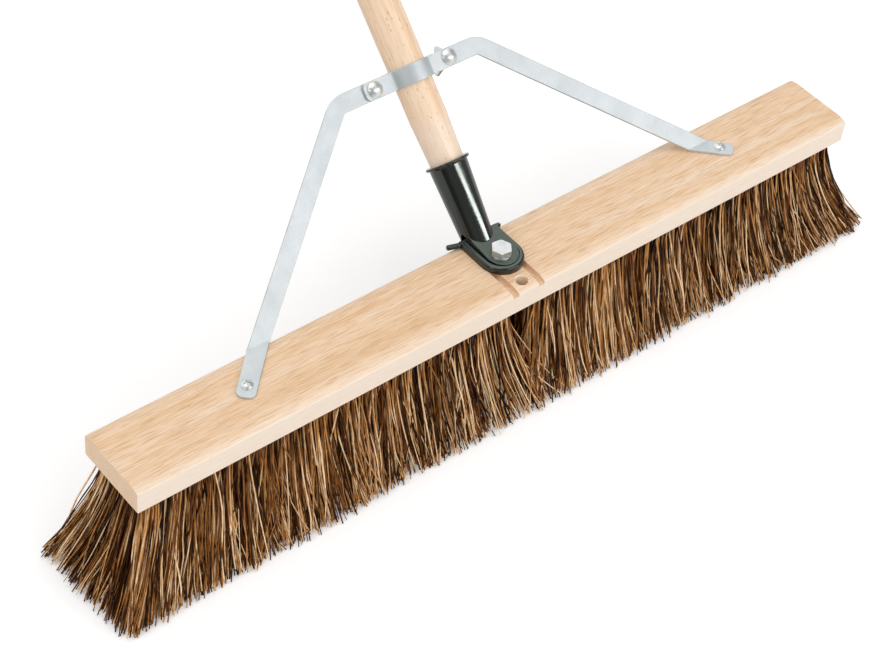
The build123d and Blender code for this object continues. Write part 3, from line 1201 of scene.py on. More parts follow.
@dataclass
class BristleBed(SubAssembly):
    """Ten half rows of tufts, each tuft a sheaf of fibres that fans out to its cut tips.

    The fibres are thicker and fewer than real ones, to show.
    """

    # Where the tufts stand
    rows: int = 5
    row_edge: float = 19.8
    first: float = 14.0
    last: float = 292.0
    crowding: float = 1.25
    height: float = 84.0
    root_depth: float = 0.5
    tufts: int = 34
    # A tuft and its fibres
    fibres: int = 56
    tuft_radius: float = 4.8
    tuft_lean: float = 3.0
    thickness: Pair = (0.33, 0.72)
    taper: Pair = (1.1, 0.8)
    tone_bands: tuple[Pair, ...] = ((0.0, 0.18), (0.36, 0.66), (0.76, 1.0))
    # The shares of the three tone bands in the outer and the inner rows; the inner rows get more dark
    # fibres as painted shade
    outer_tones: tuple[int, ...] = (30, 32, 38)
    shaded_inner_tones: tuple[int, ...] = (48, 32, 20)
    # How the tips splay
    row_splay: float = 20.0
    end_splay: float = 37.0
    end_onset: int = 5
    gap_lean: float = 11.0
    gap_onset: int = 6
    spread: Pair = (5.5, 4.6)
    stray_share: float = 0.24
    stray: float = 3.8
    # How far the tips go
    half_length: float = 333.0
    half_depth: float = 43.5
    edge_scatter: float = 1.5
    forward: float = 7.5
    back_reach: float = 1.2
    tip_lift: float = 0.7
    trim: float = 9.0
    trim_onset: int = 2
    # How each fibre bends
    bow: Pair = (1.2, 1.8)
    end_bow: float = 0.2
    end_bow_onset: int = 4
    arc: float = 2.8
    wave: float = 1.6
    wave_sizes: Pair = (0.2, 1.4)
    wave_counts: Pair = (0.8, 2.2)
    wave_depth: float = 0.6
    knots: int = 9
    seed: int = 20

    def build(self) -> None:
        """Builds each half row."""
        for row in range(self.rows):
            for side in Side:
                self.half_row(row, side)

    def half_row(self, row: int, side: Side) -> None:
        """Builds one half row as a sheaf of thin tapering tubes.

        Args:
            row: The row, counted from the front.
            side: The half.
        """
        dice = random.Random(self.seed + 2 * row + (side is Side.RIGHT))
        name = f"bristles_{row + 1}_{side.label}"
        sheaf = bpy.data.curves.new(name, "CURVE")
        sheaf.dimensions = "3D"
        sheaf.bevel_depth = MM
        sheaf.bevel_resolution = 0
        sheaf.use_fill_caps = True
        tones = []
        # Painted shade: the inner rows draw more dark fibres
        shares = self.outer_tones if row in (0, self.rows - 1) else self.shaded_inner_tones
        for tuft in range(self.tufts):
            share = 1 - (1 - tuft / (self.tufts - 1)) ** self.crowding
            lean = Vector((dice.gauss(0, self.tuft_lean), dice.gauss(0, self.tuft_lean), 0))
            for _ in range(self.fibres):
                low, high = dice.choices(self.tone_bands, shares)[0]
                tones.append(dice.uniform(low, high))
                self.fibre(sheaf, dice, row, side, share, lean, tones[-1])
        holder = bpy.data.objects.new(name, sheaf)
        mesh = bpy.data.meshes.new_from_object(holder)
        bpy.data.objects.remove(holder)
        bpy.data.curves.remove(sheaf)
        mesh.name = name
        each = len(mesh.vertices) // len(tones)
        tone = mesh.attributes.new(TONE, "FLOAT", "POINT")
        tone.data.foreach_set("value", [value for value in tones for _ in range(each)])
        mesh.shade_smooth()
        self.dress(name, mesh, FIBRE, [f"bristle_row_{row + 1}_{side.label}"], BROOM)

    def fibre(
        self,
        sheaf: bpy.types.Curve,
        dice: random.Random,
        row: int,
        side: Side,
        share: float,
        lean: Vector,
        tone: float,
    ) -> None:
        """Adds one bowed and wavy fibre.

        Args:
            sheaf: The curve that gets it.
            dice: The source of chance.
            row: The row, counted from the front.
            side: The half.
            share: How far out the tuft stands, from 0 by the middle to 1 at the end.
            lean: The way the whole tuft leans.
            tone: Its tone from 0 to 1. The paler fibres are the thicker ones.
        """
        row_y = self.row_edge * (2 * row / (self.rows - 1) - 1)
        turn = dice.uniform(0, 2 * math.pi)
        out = self.tuft_radius * math.sqrt(dice.random())
        offset = Vector((math.cos(turn) * out, math.sin(turn) * out, 0))
        row_x = side.value * (self.first + share * (self.last - self.first))
        root = Vector((row_x, row_y, self.height)) + offset
        further = self.back_reach * (row - (self.rows - 1) / 2)
        splay = (self.end_splay + further) * share**self.end_onset
        splay -= self.gap_lean * (1 - share) ** self.gap_onset
        loose = self.stray if dice.random() < self.stray_share else 1.0
        tip = root + lean + Vector((side.value * splay, self.row_splay * row_y / self.row_edge, 0))
        tip += Vector((*(dice.gauss(0, width * loose) for width in self.spread), 0))
        tip.x = self.kept_in(tip.x, self.half_length + further + dice.gauss(0, self.edge_scatter))
        tip.y = self.kept_in(tip.y, self.half_depth + dice.gauss(0, self.edge_scatter)) - self.forward
        tip_height = self.tip_lift + self.trim * dice.random() ** self.trim_onset
        bow = dice.uniform(*self.bow) + self.end_bow * share**self.end_bow_onset
        swing = dice.uniform(0, 2 * math.pi)
        waves = dice.uniform(*self.wave_counts)
        sway = Vector((math.cos(swing), self.wave_depth * math.sin(swing), 0))
        arc, ripple = dice.gauss(0, self.arc), self.wave * dice.uniform(*self.wave_sizes)
        thin, thick = self.thickness
        radius = thin + (thick - thin) * (tone + dice.random()) / 2
        start = self.height + self.root_depth
        butt, point = self.taper
        line = sheaf.splines.new("POLY")
        line.points.add(self.knots - 1)
        places, radii = [], []
        for knot in range(self.knots):
            t = knot / (self.knots - 1)
            swerve = arc * math.sin(math.pi * t) + ripple * t * math.sin(2 * math.pi * waves * t + swing)
            spot = root + (tip - root) * t**bow + sway * swerve
            spot.z = start + (tip_height - start) * t
            places += [*(spot * MM), 1.0]
            radii.append(radius * (butt + (point - butt) * t))
        line.points.foreach_set("co", places)
        line.points.foreach_set("radius", radii)

    @staticmethod
    def kept_in(place: float, limit: float) -> float:
        """Folds a place that lies beyond a limit back inside it."""
        over = max(0.0, abs(place) - limit)
        return place - math.copysign(2 * over, place)


@dataclass
class OnHandle(SubAssembly):
    """A sub-assembly drawn in the handle's own frame: X across, Y out of the back and Z up it."""

    home: Matrix

    @staticmethod
    def grip() -> dict[str, Any]:
        """Gives the record's mount on the straight barrel of the handle."""
        return next(mount for mount in frame["record"]["mounts"] if mount["name"] == "handle_grip")

    @classmethod
    def handle_frame(cls, back: Vector) -> Matrix:
        """Finds a frame on the handle, from where its axis meets the top of the block.

        Args:
            back: The way that the frame's Y points, square to the handle.

        Returns:
            The frame in millimetres.
        """
        up = Vector(cls.grip()["axis"]).normalized()
        point = Vector(cls.grip()["pos_m"]) / MM
        foot = point - up * ((point.z - block_top()) / up.z)
        turn = Matrix((back.cross(up), back, up)).transposed().to_4x4()
        return Matrix.Translation(foot) @ turn

    @classmethod
    def straight(cls) -> Matrix:
        """Gives the frame that faces the front of the broom squarely."""
        return cls.handle_frame(Vector(cls.grip()["axis"]).cross((1, 0, 0)).normalized())

    @classmethod
    def clamped(cls) -> Matrix:
        """Gives the frame of the brace, turned a little on the handle: Y is the way its bolts point."""
        joints = frame["record"]["behaviour"]["joints"]
        return cls.handle_frame(Vector(joints[0]["axis"]).normalized())


@dataclass
class HandleStick(OnHandle):
    """The turned beech handle: a taper in the socket, a straight barrel and a domed top."""

    start: float = 28.0
    chamfer: float = 1.0
    taper_end: float = 92.0
    taper_radius: float = 10.5
    seat_radius: float = 13.02
    clamp_top: float = 128.8
    grip_start: float = 147.0
    radius: float = 13.25
    dome_start: float = 1542.0
    dome: float = 10.0

    def build(self) -> None:
        """Turns the handle."""
        ball, cap = ball_of_cap(self.radius, self.dome)
        pen = Nib((0, 0, self.start)).run(self.taper_radius - self.chamfer, 0, 0)
        pen.run(self.chamfer, 0, self.chamfer)
        pen.run(self.seat_radius - self.taper_radius, 0, self.taper_end - self.start - self.chamfer)
        pen.run(0, 0, self.clamp_top - self.taper_end)
        pen.run(self.radius - self.seat_radius, 0, self.grip_start - self.clamp_top)
        pen.run(0, 0, self.dome_start - self.grip_start)
        pen.turn((0, 0, self.dome_start + self.dome - ball), (0, -1, 0), cap, steps=10)
        stick = pen.turned(steps=64)
        self.piece("handle_stick", stick, HANDLE_BEECH, "handle", place=self.home, crease=60.0)


@dataclass
class SocketBracket(OnHandle):
    """The black socket: a lipped tube with a level-cut foot, on a rounded plate with two ears.

    Each step of the lip is a share of its width and a rise, and each step of the bead a width and a depth.
    """

    # The tube
    mouth: float = 60.0
    mouth_ease: float = 0.1
    foot: float = -4.0
    wall: float = 1.2
    wall_steps: int = 12
    mouth_wall: float = 1.6
    mouth_bore: float = 11.85
    slope: float = 0.039
    lip: float = 1.0
    lip_round: float = 1.1
    lip_sweep: float = 150.0
    lip_steps: tuple[Pair, ...] = ((0.0, 0.3), (0.3, 0.35), (0.7, 0.15))
    edge: float = 0.35
    sway: Pair = (-1.0, 0.4)
    tube_back: float = 28.9
    foot_gap: float = 3.8
    sleeve: Pair = (2.0, 24.0)
    sleeve_sink: float = 0.1
    cutter: float = 80.0
    # The plate
    plate_half: float = 16.0
    plate_shift: float = 1.4
    plate_back: float = 27.98
    plate_height: float = 5.0
    plate_round: float = 3.5
    rim: float = 1.9
    bead: tuple[Pair, ...] = ((1.2, 0.0), (0.3, -0.6), (0.35, 0.0), (0.3, 0.6))
    field_slope: float = 0.14
    # Its ears
    left_ear: float = 10.5
    right_ear: float = 5.0
    ear_size: float = 3.4
    ear_round: float = 1.2
    ear_slant: float = 18.0
    ear_inset: float = 1.0

    def build(self) -> None:
        """Builds the tube and the plate."""
        self.tube()
        self.plate()

    def tube(self) -> None:
        """Draws the wall up its outside and over the lip, and adds the sleeve that meets the plate."""
        bore = self.mouth_bore
        outer = bore + self.mouth_wall
        foot_bore = bore - self.slope * (self.mouth - self.foot)
        foot_outer = foot_bore + self.wall
        neck = self.mouth - 2 * self.lip_round - sum(rise for _, rise in self.lip_steps)
        brim = self.mouth - self.mouth_ease
        steps = self.wall_steps
        pen = Nib((foot_outer, 0, self.foot))
        for _ in range(steps):
            pen.run((outer - foot_outer) / steps, 0, (neck - self.foot) / steps)
        for share, rise in self.lip_steps:
            pen.run(self.lip * share, 0, rise)
        pen.turn((outer + self.lip, 0, self.mouth - self.lip_round), (0, 1, 0), -self.lip_sweep, steps=8)
        pen.line_to(bore, 0, brim)
        for _ in range(steps):
            pen.run((foot_bore - bore) / steps, 0, (self.foot - brim) / steps)
        pen.run(self.wall, 0, 0)
        tube = pen.turned(steps=64)
        soften(tube, self.edge, angle=60.0)
        for vert in tube.verts:
            drop = max(0.0, self.mouth - vert.co.z)
            vert.co.xy += Vector(self.sway) * drop / (self.mouth - self.foot)
        tube = carve(moved(tube, self.home), self.stand(self.foot_gap))
        wall, height = self.sleeve
        pen = Nib((foot_bore, 0, self.foot)).run(0, 0, height).run(-wall, 0, 0)
        sleeve = pen.run(0, 0, -height).run(wall, 0, 0).turned(steps=64)
        sleeve = carve(moved(sleeve, self.home), self.stand(-self.sleeve_sink))
        self.piece("socket", joined(tube, sleeve), ENAMEL, "socket_tube", crease=50.0)

    def stand(self, gap: float) -> BMesh:
        """Makes the cutter that fits the tube's foot to the plate and the back of the block.

        Args:
            gap: The height of the cut above the plate.

        Returns:
            The cutter.
        """
        half = self.cutter / 2
        spot = (0, self.tube_back - half, block_top() + self.plate_height + gap - half)
        return moved(cuboid(self.cutter, self.cutter, self.cutter), Matrix.Translation(spot))

    def plate(self) -> None:
        """Builds the plate: a rolled rim, the bead inside it, a field rising to the tube, and its ears."""
        top = block_top()
        straight = self.plate_back - self.plate_round
        pen = Nib((self.plate_shift + self.plate_half, self.plate_back, top)).run(0, -straight, 0)
        pen.turn((self.plate_shift, self.plate_round, top), UP, -180, steps=28)
        pen.run(0, straight, 0).run(2 * self.plate_half, 0, 0)
        plate = pen.closed(0, 0, self.plate_height)
        lid = max(plate.faces, key=lambda face: face.calc_center_median().z)
        rounded(plate, list(lid.edges), self.rim, segments=6)
        lid = max(plate.faces, key=lambda face: (round(face.calc_center_median().z, 3), face.calc_area()))
        for width, depth in self.bead:
            bmesh.ops.inset_region(plate, faces=[lid], thickness=width, depth=depth, use_even_offset=True)
        front = min(vert.co.y for vert in lid.verts)
        for vert in lid.verts:
            vert.co.z += self.field_slope * (vert.co.y - front)
        ears = [self.ear(side, top) for side in Side]
        self.piece("bracket_foot", joined(plate, *ears), ENAMEL, "bracket_plate", crease=50.0)

    def ear(self, side: Side, top: float) -> BMesh:
        """Builds one ear at a back corner of the plate.

        Args:
            side: The corner's side.
            top: The top of the block.

        Returns:
            The ear.
        """
        reach = self.left_ear if side is Side.LEFT else self.right_ear
        ear = cuboid(reach, self.ear_size, self.ear_size)
        soften(ear, self.ear_round, segments=4)
        moved(ear, Matrix.Translation((reach / 2, 0, 0)))
        root = (
            self.plate_shift + side.value * (self.plate_half - self.ear_inset),
            self.plate_back - self.ear_size / 2,
            top + self.plate_height - self.ear_size,
        )
        swing = 90 - side.value * (90 - self.ear_slant)
        return moved(ear, Matrix.Translation(root) @ about("Z", swing))


@dataclass
class BracketBolt(SubAssembly):
    """The hex bolt that holds the bracket, its lock washer and its tee nut under the block."""

    flats: float = 12.7
    head: float = 5.4
    chamfer: Pair = (0.65, 0.35)
    edge: float = 0.15
    overcut: Pair = (0.05, 1.0)
    turn: float = 23.0
    place: Pair = (0.0, 2.0)
    shank: float = 3.95
    point: float = 0.6

    def build(self) -> None:
        """Builds the hex head with its chamfered corners on a plain shank."""
        low, high = (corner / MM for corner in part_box("bracket_bolt"))
        corner = self.flats / 2 / math.cos(math.pi / 6)
        seat = high.z - self.head
        beside, beyond = self.overcut
        inward, drop = self.chamfer
        prism = bmesh.new()
        bmesh.ops.create_circle(prism, cap_ends=True, segments=6, radius=corner)
        extruded(prism, (0, 0, self.head + beyond))
        cap = Nib((0, 0, -beyond)).run(corner + beside, 0, 0).run(0, 0, beyond + self.head - drop)
        cap.run(-inward, 0, drop).run(inward - beside - corner, 0, 0)
        head = carve(prism, cap.turned(steps=72), "INTERSECT")
        soften(head, self.edge, angle=25.0, segments=2)
        moved(head, Matrix.Translation((0, 0, seat)) @ about("Z", self.turn))
        shank = Nib((0, 0, low.z)).run(self.shank - self.point, 0, 0)
        shank.run(self.point, 0, self.point).run(0, 0, seat - low.z)
        bolt = joined(head, shank.turned(steps=32))
        self.piece("hex_bolt", bolt, ZINC, "bracket_bolt", place=Matrix.Translation((*self.place, 0)))
        self.keep("bolt_lock_washer", ZINC)
        self.keep("tee_nut", ZINC)


@dataclass
class OnBrace(OnHandle):
    """A sub-assembly on one side of the brace: where the clamp sits, and the thickness of its bar."""

    side: Side
    clamp: float = 122.2
    forward: float = 1.7
    bar: float = 2.0


@dataclass
class BraceArm(OnBrace):
    """One brace arm of flat bar: a free end, a saddle round the handle, an elbow, a leg and a foot."""

    elbows: dict[Side, float] = field(default_factory=lambda: {Side.LEFT: 59.5, Side.RIGHT: 55.0})
    width: float = 12.7
    free_end: float = 38.7
    free_round: float = 4.0
    saddle: float = 14.12
    saddle_bend: float = 2.6
    elbow_outer: float = 25.0
    elbow_inner: float = 3.0
    fold_radius: float = 3.0
    screw: Pair = (203.5, 2.5)
    screw_skew: float = 1.35
    toe: float = 10.0
    toe_round: float = 4.6
    worn_edge: float = 0.4
    worn_angle: float = 50.0

    @property
    def own(self) -> Matrix:
        """The arm's own frame. The left arm's is half turned, so that both run out along X."""
        return self.home @ about("Z", 180 if self.side is Side.LEFT else 0)

    @property
    def middle(self) -> float:
        """Where the middle of the bar's thickness lies along the arm's own Y."""
        return -self.side.value * self.forward - self.bar / 2

    def build(self) -> None:
        """Draws the bar from its free end to its toe and gives it its thickness."""
        half = self.width / 2
        pen = Nib(*((-self.free_end, self.middle, self.clamp + rise) for rise in (-half, half)))
        self.draw_saddle(pen)
        self.draw_leg(pen)
        bar = pen.bm
        ends = [vert for vert in bar.verts if len(vert.link_edges) == 2]
        free = [vert for vert in ends if vert.co.x < 0]
        toes = [vert for vert in ends if vert.co.x > 0]
        for corners, reach in ((free, self.free_round), (toes, self.toe_round)):
            rounded(bar, corners, reach, segments=6, affect="VERTICES")
        close_up(bar)
        label = self.side.label
        arm = self.piece(f"brace_{label}", bar, GALVANISED, f"brace_arm_{label}", place=self.own)
        thick = arm.modifiers.new("bar", "SOLIDIFY")
        thick.thickness = self.bar * MM
        thick.offset = 0.0
        thick.use_even_offset = True
        edge = arm.modifiers.new("worn_edge", "BEVEL")
        edge.width = self.worn_edge * MM
        edge.segments = 2
        edge.limit_method = "ANGLE"
        edge.angle_limit = math.radians(self.worn_angle)
        # The normals are levelled last, after the thickness and the worn edge
        arm.modifiers.move(0, 2)

    def draw_saddle(self, pen: Nib) -> None:
        """Draws the bar in to the handle, round it and out to the other side.

        Args:
            pen: The pen, at the free end.
        """
        drop = self.saddle_bend - self.middle
        across = math.sqrt((self.saddle + self.saddle_bend) ** 2 - drop**2)
        bend = math.degrees(math.acos(drop / (self.saddle + self.saddle_bend)))
        pen.run(self.free_end - across, 0, 0)
        pen.turn((-across, -drop, 0), UP, -bend, steps=6)
        pen.turn((0, 0, 0), UP, 2 * bend, steps=22)
        pen.turn((across, -drop, 0), UP, -bend, steps=6)

    def draw_elbow(self, pen: Nib, slope: float, steps: int = 10) -> None:
        """Draws the elbow, which is round on its outside and tight on its inside.

        Args:
            pen: The pen, past the saddle.
            slope: The angle that the leg falls at, in radians.
            steps: The number of facets round the bend.
        """
        corner = math.tan(slope / 2)
        sides = ((-self.width / 2, self.elbow_inner), (self.width / 2, self.elbow_outer))
        for step in range(steps + 1):
            angle = slope * step / steps
            pen.run(0, 0, 0)
            for vert, (rise, radius) in zip(sorted(pen.corners(), key=lambda each: each.co.z), sides):
                x = self.elbows[self.side] + (rise - radius) * corner + radius * math.sin(angle)
                vert.co = (x, self.middle, self.clamp + rise - radius + radius * math.cos(angle))

    def draw_leg(self, pen: Nib) -> None:
        """Draws the elbow, the leg down to the block, the fold above it and the foot on its top.

        Args:
            pen: The pen, past the saddle.
        """
        sign = self.side.value
        inside = self.own.inverted()
        ground = inside @ Vector((0, 0, block_top()))
        upright = inside.to_3x3() @ Vector(UP)
        line = (upright.cross((0, -1, 0))).normalized()
        rise = Vector((-line.z, 0, line.x))
        front = line.cross(upright) * sign
        across, back = self.screw
        screw = inside @ Vector((sign * across, back - sign * self.screw_skew, block_top()))
        under = self.on_plane(self.middle + sign * self.bar / 2, ground, upright, 0.0)
        flat = under + line * (screw - under).dot(line) - rise * (screw - under).dot(front)
        slope = math.atan2(self.clamp - flat.z, flat.x - self.elbows[self.side])
        self.draw_elbow(pen, slope)
        down = Vector((math.cos(slope), 0, -math.sin(slope)))
        fall = -down.dot(rise)
        fold = math.acos(-rise.dot(front))
        hinge_y = self.middle - sign * self.fold_radius
        hinge = self.on_plane(hinge_y, ground, upright, self.bar / 2 + self.fold_radius)
        pen.reach(down, hinge, rise)
        drift = line * (self.fold_radius * fold * down.dot(line) / fall)
        pen.turn(hinge, line, -sign * math.degrees(fold), steps=6, drift=drift)
        ahead = line * down.dot(line) + front * fall
        pen.reach(ahead, screw + ahead * self.toe, ahead)

    @staticmethod
    def on_plane(y: float, ground: Vector, upright: Vector, height: float) -> Vector:
        """Finds the point at X 0 and a given Y that stands a height above the block, in the arm's frame.

        Args:
            y: The point's Y.
            ground: A point of the top of the block.
            upright: The way up.
            height: The height above the block.

        Returns:
            The point.
        """
        level = Vector((0, y, ground.z))
        return level + Vector((0, 0, (height - (level - ground).dot(upright)) / upright.z))


@dataclass
class ClampFastener(OnBrace):
    """One clamp bolt with its washer and wing nut."""

    # The bolt
    bolt_x: float = 30.7
    head_radius: float = 5.5
    head_rim: float = 0.7
    head_dome: float = 2.1
    head_edge: float = 0.2
    shank: float = 2.4
    length: float = 17.0
    core_depth: float = 0.42
    point: Pair = (0.5, 0.6)
    pitch: float = 25.4 / 24
    thread_depth: float = 0.5
    thread_flank: float = 0.42
    thread_start: float = 3.4
    plain_length: float = 5.0
    # The washer and the nut
    washer: float = 1.2
    nut_play: float = 0.05
    nut_base: float = 5.0
    nut_top: float = 4.2
    nut_height: float = 6.0
    nut_edge: float = 0.3
    nut_swell: float = 0.2
    nut_crown: Pair = (0.6, 0.4)
    # The nut's wings
    span: float = 20.5
    wing_height: float = 14.0
    wing: float = 2.2
    wing_edge: float = 0.5
    wing_root: float = 1.4
    wing_lift: float = 0.6
    wing_step: float = 0.4
    wing_fall: float = 0.5
    tip_radius: float = 2.6
    tip_share: float = 0.9
    tip_drop: float = 1.1
    tip_sweep: float = 170.0
    turns: dict[Side, float] = field(default_factory=lambda: {Side.LEFT: 0.0, Side.RIGHT: -66.0})

    def build(self) -> None:
        """Builds the bolt and the nut, and keeps the washer."""
        label = self.side.label
        bolt_place = self.seat(-self.bar)
        self.piece(f"round_bolt_{label}", self.bolt(), ZINC, f"clamp_bolt_{label}", place=bolt_place)
        self.keep(f"clamp_washer_{label}", ZINC)
        self.piece(
            f"wing_{label}",
            self.nut(),
            ZINC,
            f"wing_nut_{label}",
            body=f"nut_{label}",
            place=self.seat(self.bar + self.washer) @ about("Z", self.turns[self.side]),
        )

    def seat(self, out: float) -> Matrix:
        """Gives the place on the bolt's axis a distance behind the plane where the two arms meet."""
        spot = Matrix.Translation((self.side.value * self.bolt_x, out - self.forward, self.clamp))
        return self.home @ spot @ about("X", -90)

    def bolt(self) -> BMesh:
        """Turns the domed head and the core of the shank, and winds a helical thread on it.

        Returns:
            The bolt, with its seat at the origin.
        """
        ball, cap = ball_of_cap(self.head_radius, self.head_dome)
        edge = self.head_edge
        head = Nib((0, 0, 0)).run(self.head_radius - edge, 0, 0).run(edge, 0, -edge)
        head.run(0, 0, edge - self.head_rim)
        head.turn((0, 0, ball - self.head_rim - self.head_dome), (0, 1, 0), cap, steps=8)
        inward, height = self.point
        core_radius = self.shank - self.core_depth
        core = Nib((0, 0, 0)).run(core_radius, 0, 0).run(0, 0, self.length - height)
        core.run(-inward, 0, height).run(inward - core_radius, 0, 0)
        deep, rise = self.thread_depth, self.pitch * self.thread_flank
        thread = Nib((self.shank - deep, 0, self.thread_start)).run(deep, 0, rise).run(-deep, 0, rise)
        # The whole section is wound, not only the point it ends on
        thread.tip = [*thread.bm.verts, *thread.bm.edges]
        turns = int((self.length - self.plain_length) / self.pitch)
        thread.turn((0, 0, 0), UP, 360 * turns, steps=20 * turns, drift=(0, 0, turns * self.pitch))
        return joined(head.turned(steps=40), core.turned(steps=32), close_up(thread.bm))

    def nut(self) -> BMesh:
        """Turns the nut's base and adds its two wings.

        Returns:
            The nut, with its base at the origin.
        """
        hole = self.shank + self.nut_play
        edge, (inward, crown) = self.nut_edge, self.nut_crown
        shoulder = self.nut_top + self.nut_swell
        base = Nib((hole, 0, 0)).run(self.nut_base - hole - edge, 0, 0).run(edge, 0, edge)
        base.run(shoulder - self.nut_base, 0, self.nut_height - edge - crown).run(-inward, 0, crown)
        base.run(hole - shoulder + inward, 0, 0).run(0, 0, -self.nut_height)
        wings = [moved(self.one_wing(), about("Z", swing)) for swing in (0, 180)]
        return joined(base.turned(steps=40), *wings)

    def one_wing(self) -> BMesh:
        """Draws one wing's outline from its root round its tip, and gives it its thickness.

        Returns:
            The wing, standing on the nut's base.
        """
        tip_x = self.span / 2 - self.tip_radius
        tip_y = self.wing_height - self.tip_radius
        root_x = self.nut_top - self.wing_root
        pen = Nib((root_x, self.wing_lift, 0)).line_to(self.nut_base + self.wing_step, self.wing_lift, 0)
        pen.line_to(tip_x + self.tip_radius * self.tip_share, tip_y - self.tip_drop, 0)
        pen.turn((tip_x, tip_y, 0), UP, self.tip_sweep, steps=12)
        pen.line_to(root_x, self.nut_height - self.wing_fall, 0).line_to(root_x, self.wing_lift, 0)
        wing = moved(pen.closed(0, 0, self.wing), Matrix.Translation((0, 0, -self.wing / 2)))
        soften(wing, self.wing_edge)
        return moved(wing, about("X", 90))


@dataclass
class FootScrews(SubAssembly):
    """The two pan-head screws that hold the feet of the brace."""

    radius: float = 4.0
    rim: float = 0.8
    dome: float = 1.6
    shank: float = 1.9
    length: float = 14.0
    point: float = 3.5
    recess: Triple = (4.4, 1.1, 2.6)
    recess_lift: float = 0.1
    turn: float = 25.0
    place: Pair = BraceArm.screw
    skew: float = BraceArm.screw_skew
    bar: float = BraceArm.bar

    def build(self) -> None:
        """Builds both screws."""
        across, back = self.place
        for side in Side:
            spot = (side.value * across, back - side.value * self.skew, block_top() + self.bar)
            place = Matrix.Translation(spot) @ about("Z", side.value * self.turn)
            label = side.label
            self.piece(f"pan_screw_{label}", self.screw(), ZINC, f"foot_screw_{label}", place=place)

    def screw(self) -> BMesh:
        """Turns the screw and cuts its cross recess.

        Returns:
            The screw, with its seat at the origin.
        """
        ball, cap = ball_of_cap(self.radius, self.dome)
        pen = Nib((0, 0, -self.length)).run(self.shank, 0, self.point)
        pen.run(0, 0, self.length - self.point)
        pen.run(self.radius - self.shank, 0, 0).run(0, 0, self.rim)
        pen.turn((0, 0, self.rim + self.dome - ball), (0, -1, 0), cap, steps=8)
        screw = pen.turned(steps=40)
        spot = Matrix.Translation((0, 0, self.rim + self.dome + self.recess_lift))
        for swing in (0, 90):
            screw = carve(screw, moved(cuboid(*self.recess), spot @ about("Z", swing)))
        return screw


# The studio, whose places and sizes are in metres


@dataclass(frozen=True)
class Lamp:
    """A soft lamp: its place, the point it faces, its sides, its power in watts and its roll in degrees."""

    name: str
    place: Triple
    target: Triple
    size: Pair
    power: float
    roll: float = 0.0
    on_dull: bool = True
    in_mirrors: bool = True

    def hang(self) -> None:
        """Hangs the lamp."""
        data = bpy.data.lights.new(self.name, "AREA")
        data.shape = "RECTANGLE"
        data.size, data.size_y = self.size
        data.energy = self.power
        lamp = shown(self.name, data)
        lamp.visible_diffuse, lamp.visible_glossy = self.on_dull, self.in_mirrors
        lamp.location = self.place
        aim = (Vector(self.target) - Vector(self.place)).to_track_quat("-Z", "Y")
        lamp.rotation_euler = (aim @ Quaternion(UP, math.radians(self.roll))).to_euler()


# Two points that the lamps face: the bracket, and the middle of the head.
BRACKET_SPOT = (0.0, 0.02, 0.13)
HEAD_SPOT = (0.0, 0.0, 0.1)
# The key lights the dull surfaces, and the strip is the streak that the black tube mirrors.
LAMPS = (
    Lamp(
        "key",
        place=(1.245, -2.215, 1.69),
        target=BRACKET_SPOT,
        size=(0.9, 0.9),
        power=10.5,
        in_mirrors=False,
    ),
    Lamp(
        "strip",
        place=(1.239, -2.358, 1.784),
        target=BRACKET_SPOT,
        size=(2.8, 0.18),
        power=25.0,
        roll=-26.6,
        on_dull=False,
    ),
    Lamp("top", place=(-0.3, 0.3, 3.0), target=HEAD_SPOT, size=(1.4, 1.4), power=13.5),
    Lamp("fill", place=(-2.6, -0.6, 2.0), target=HEAD_SPOT, size=(0.9, 0.9), power=9.0),
)


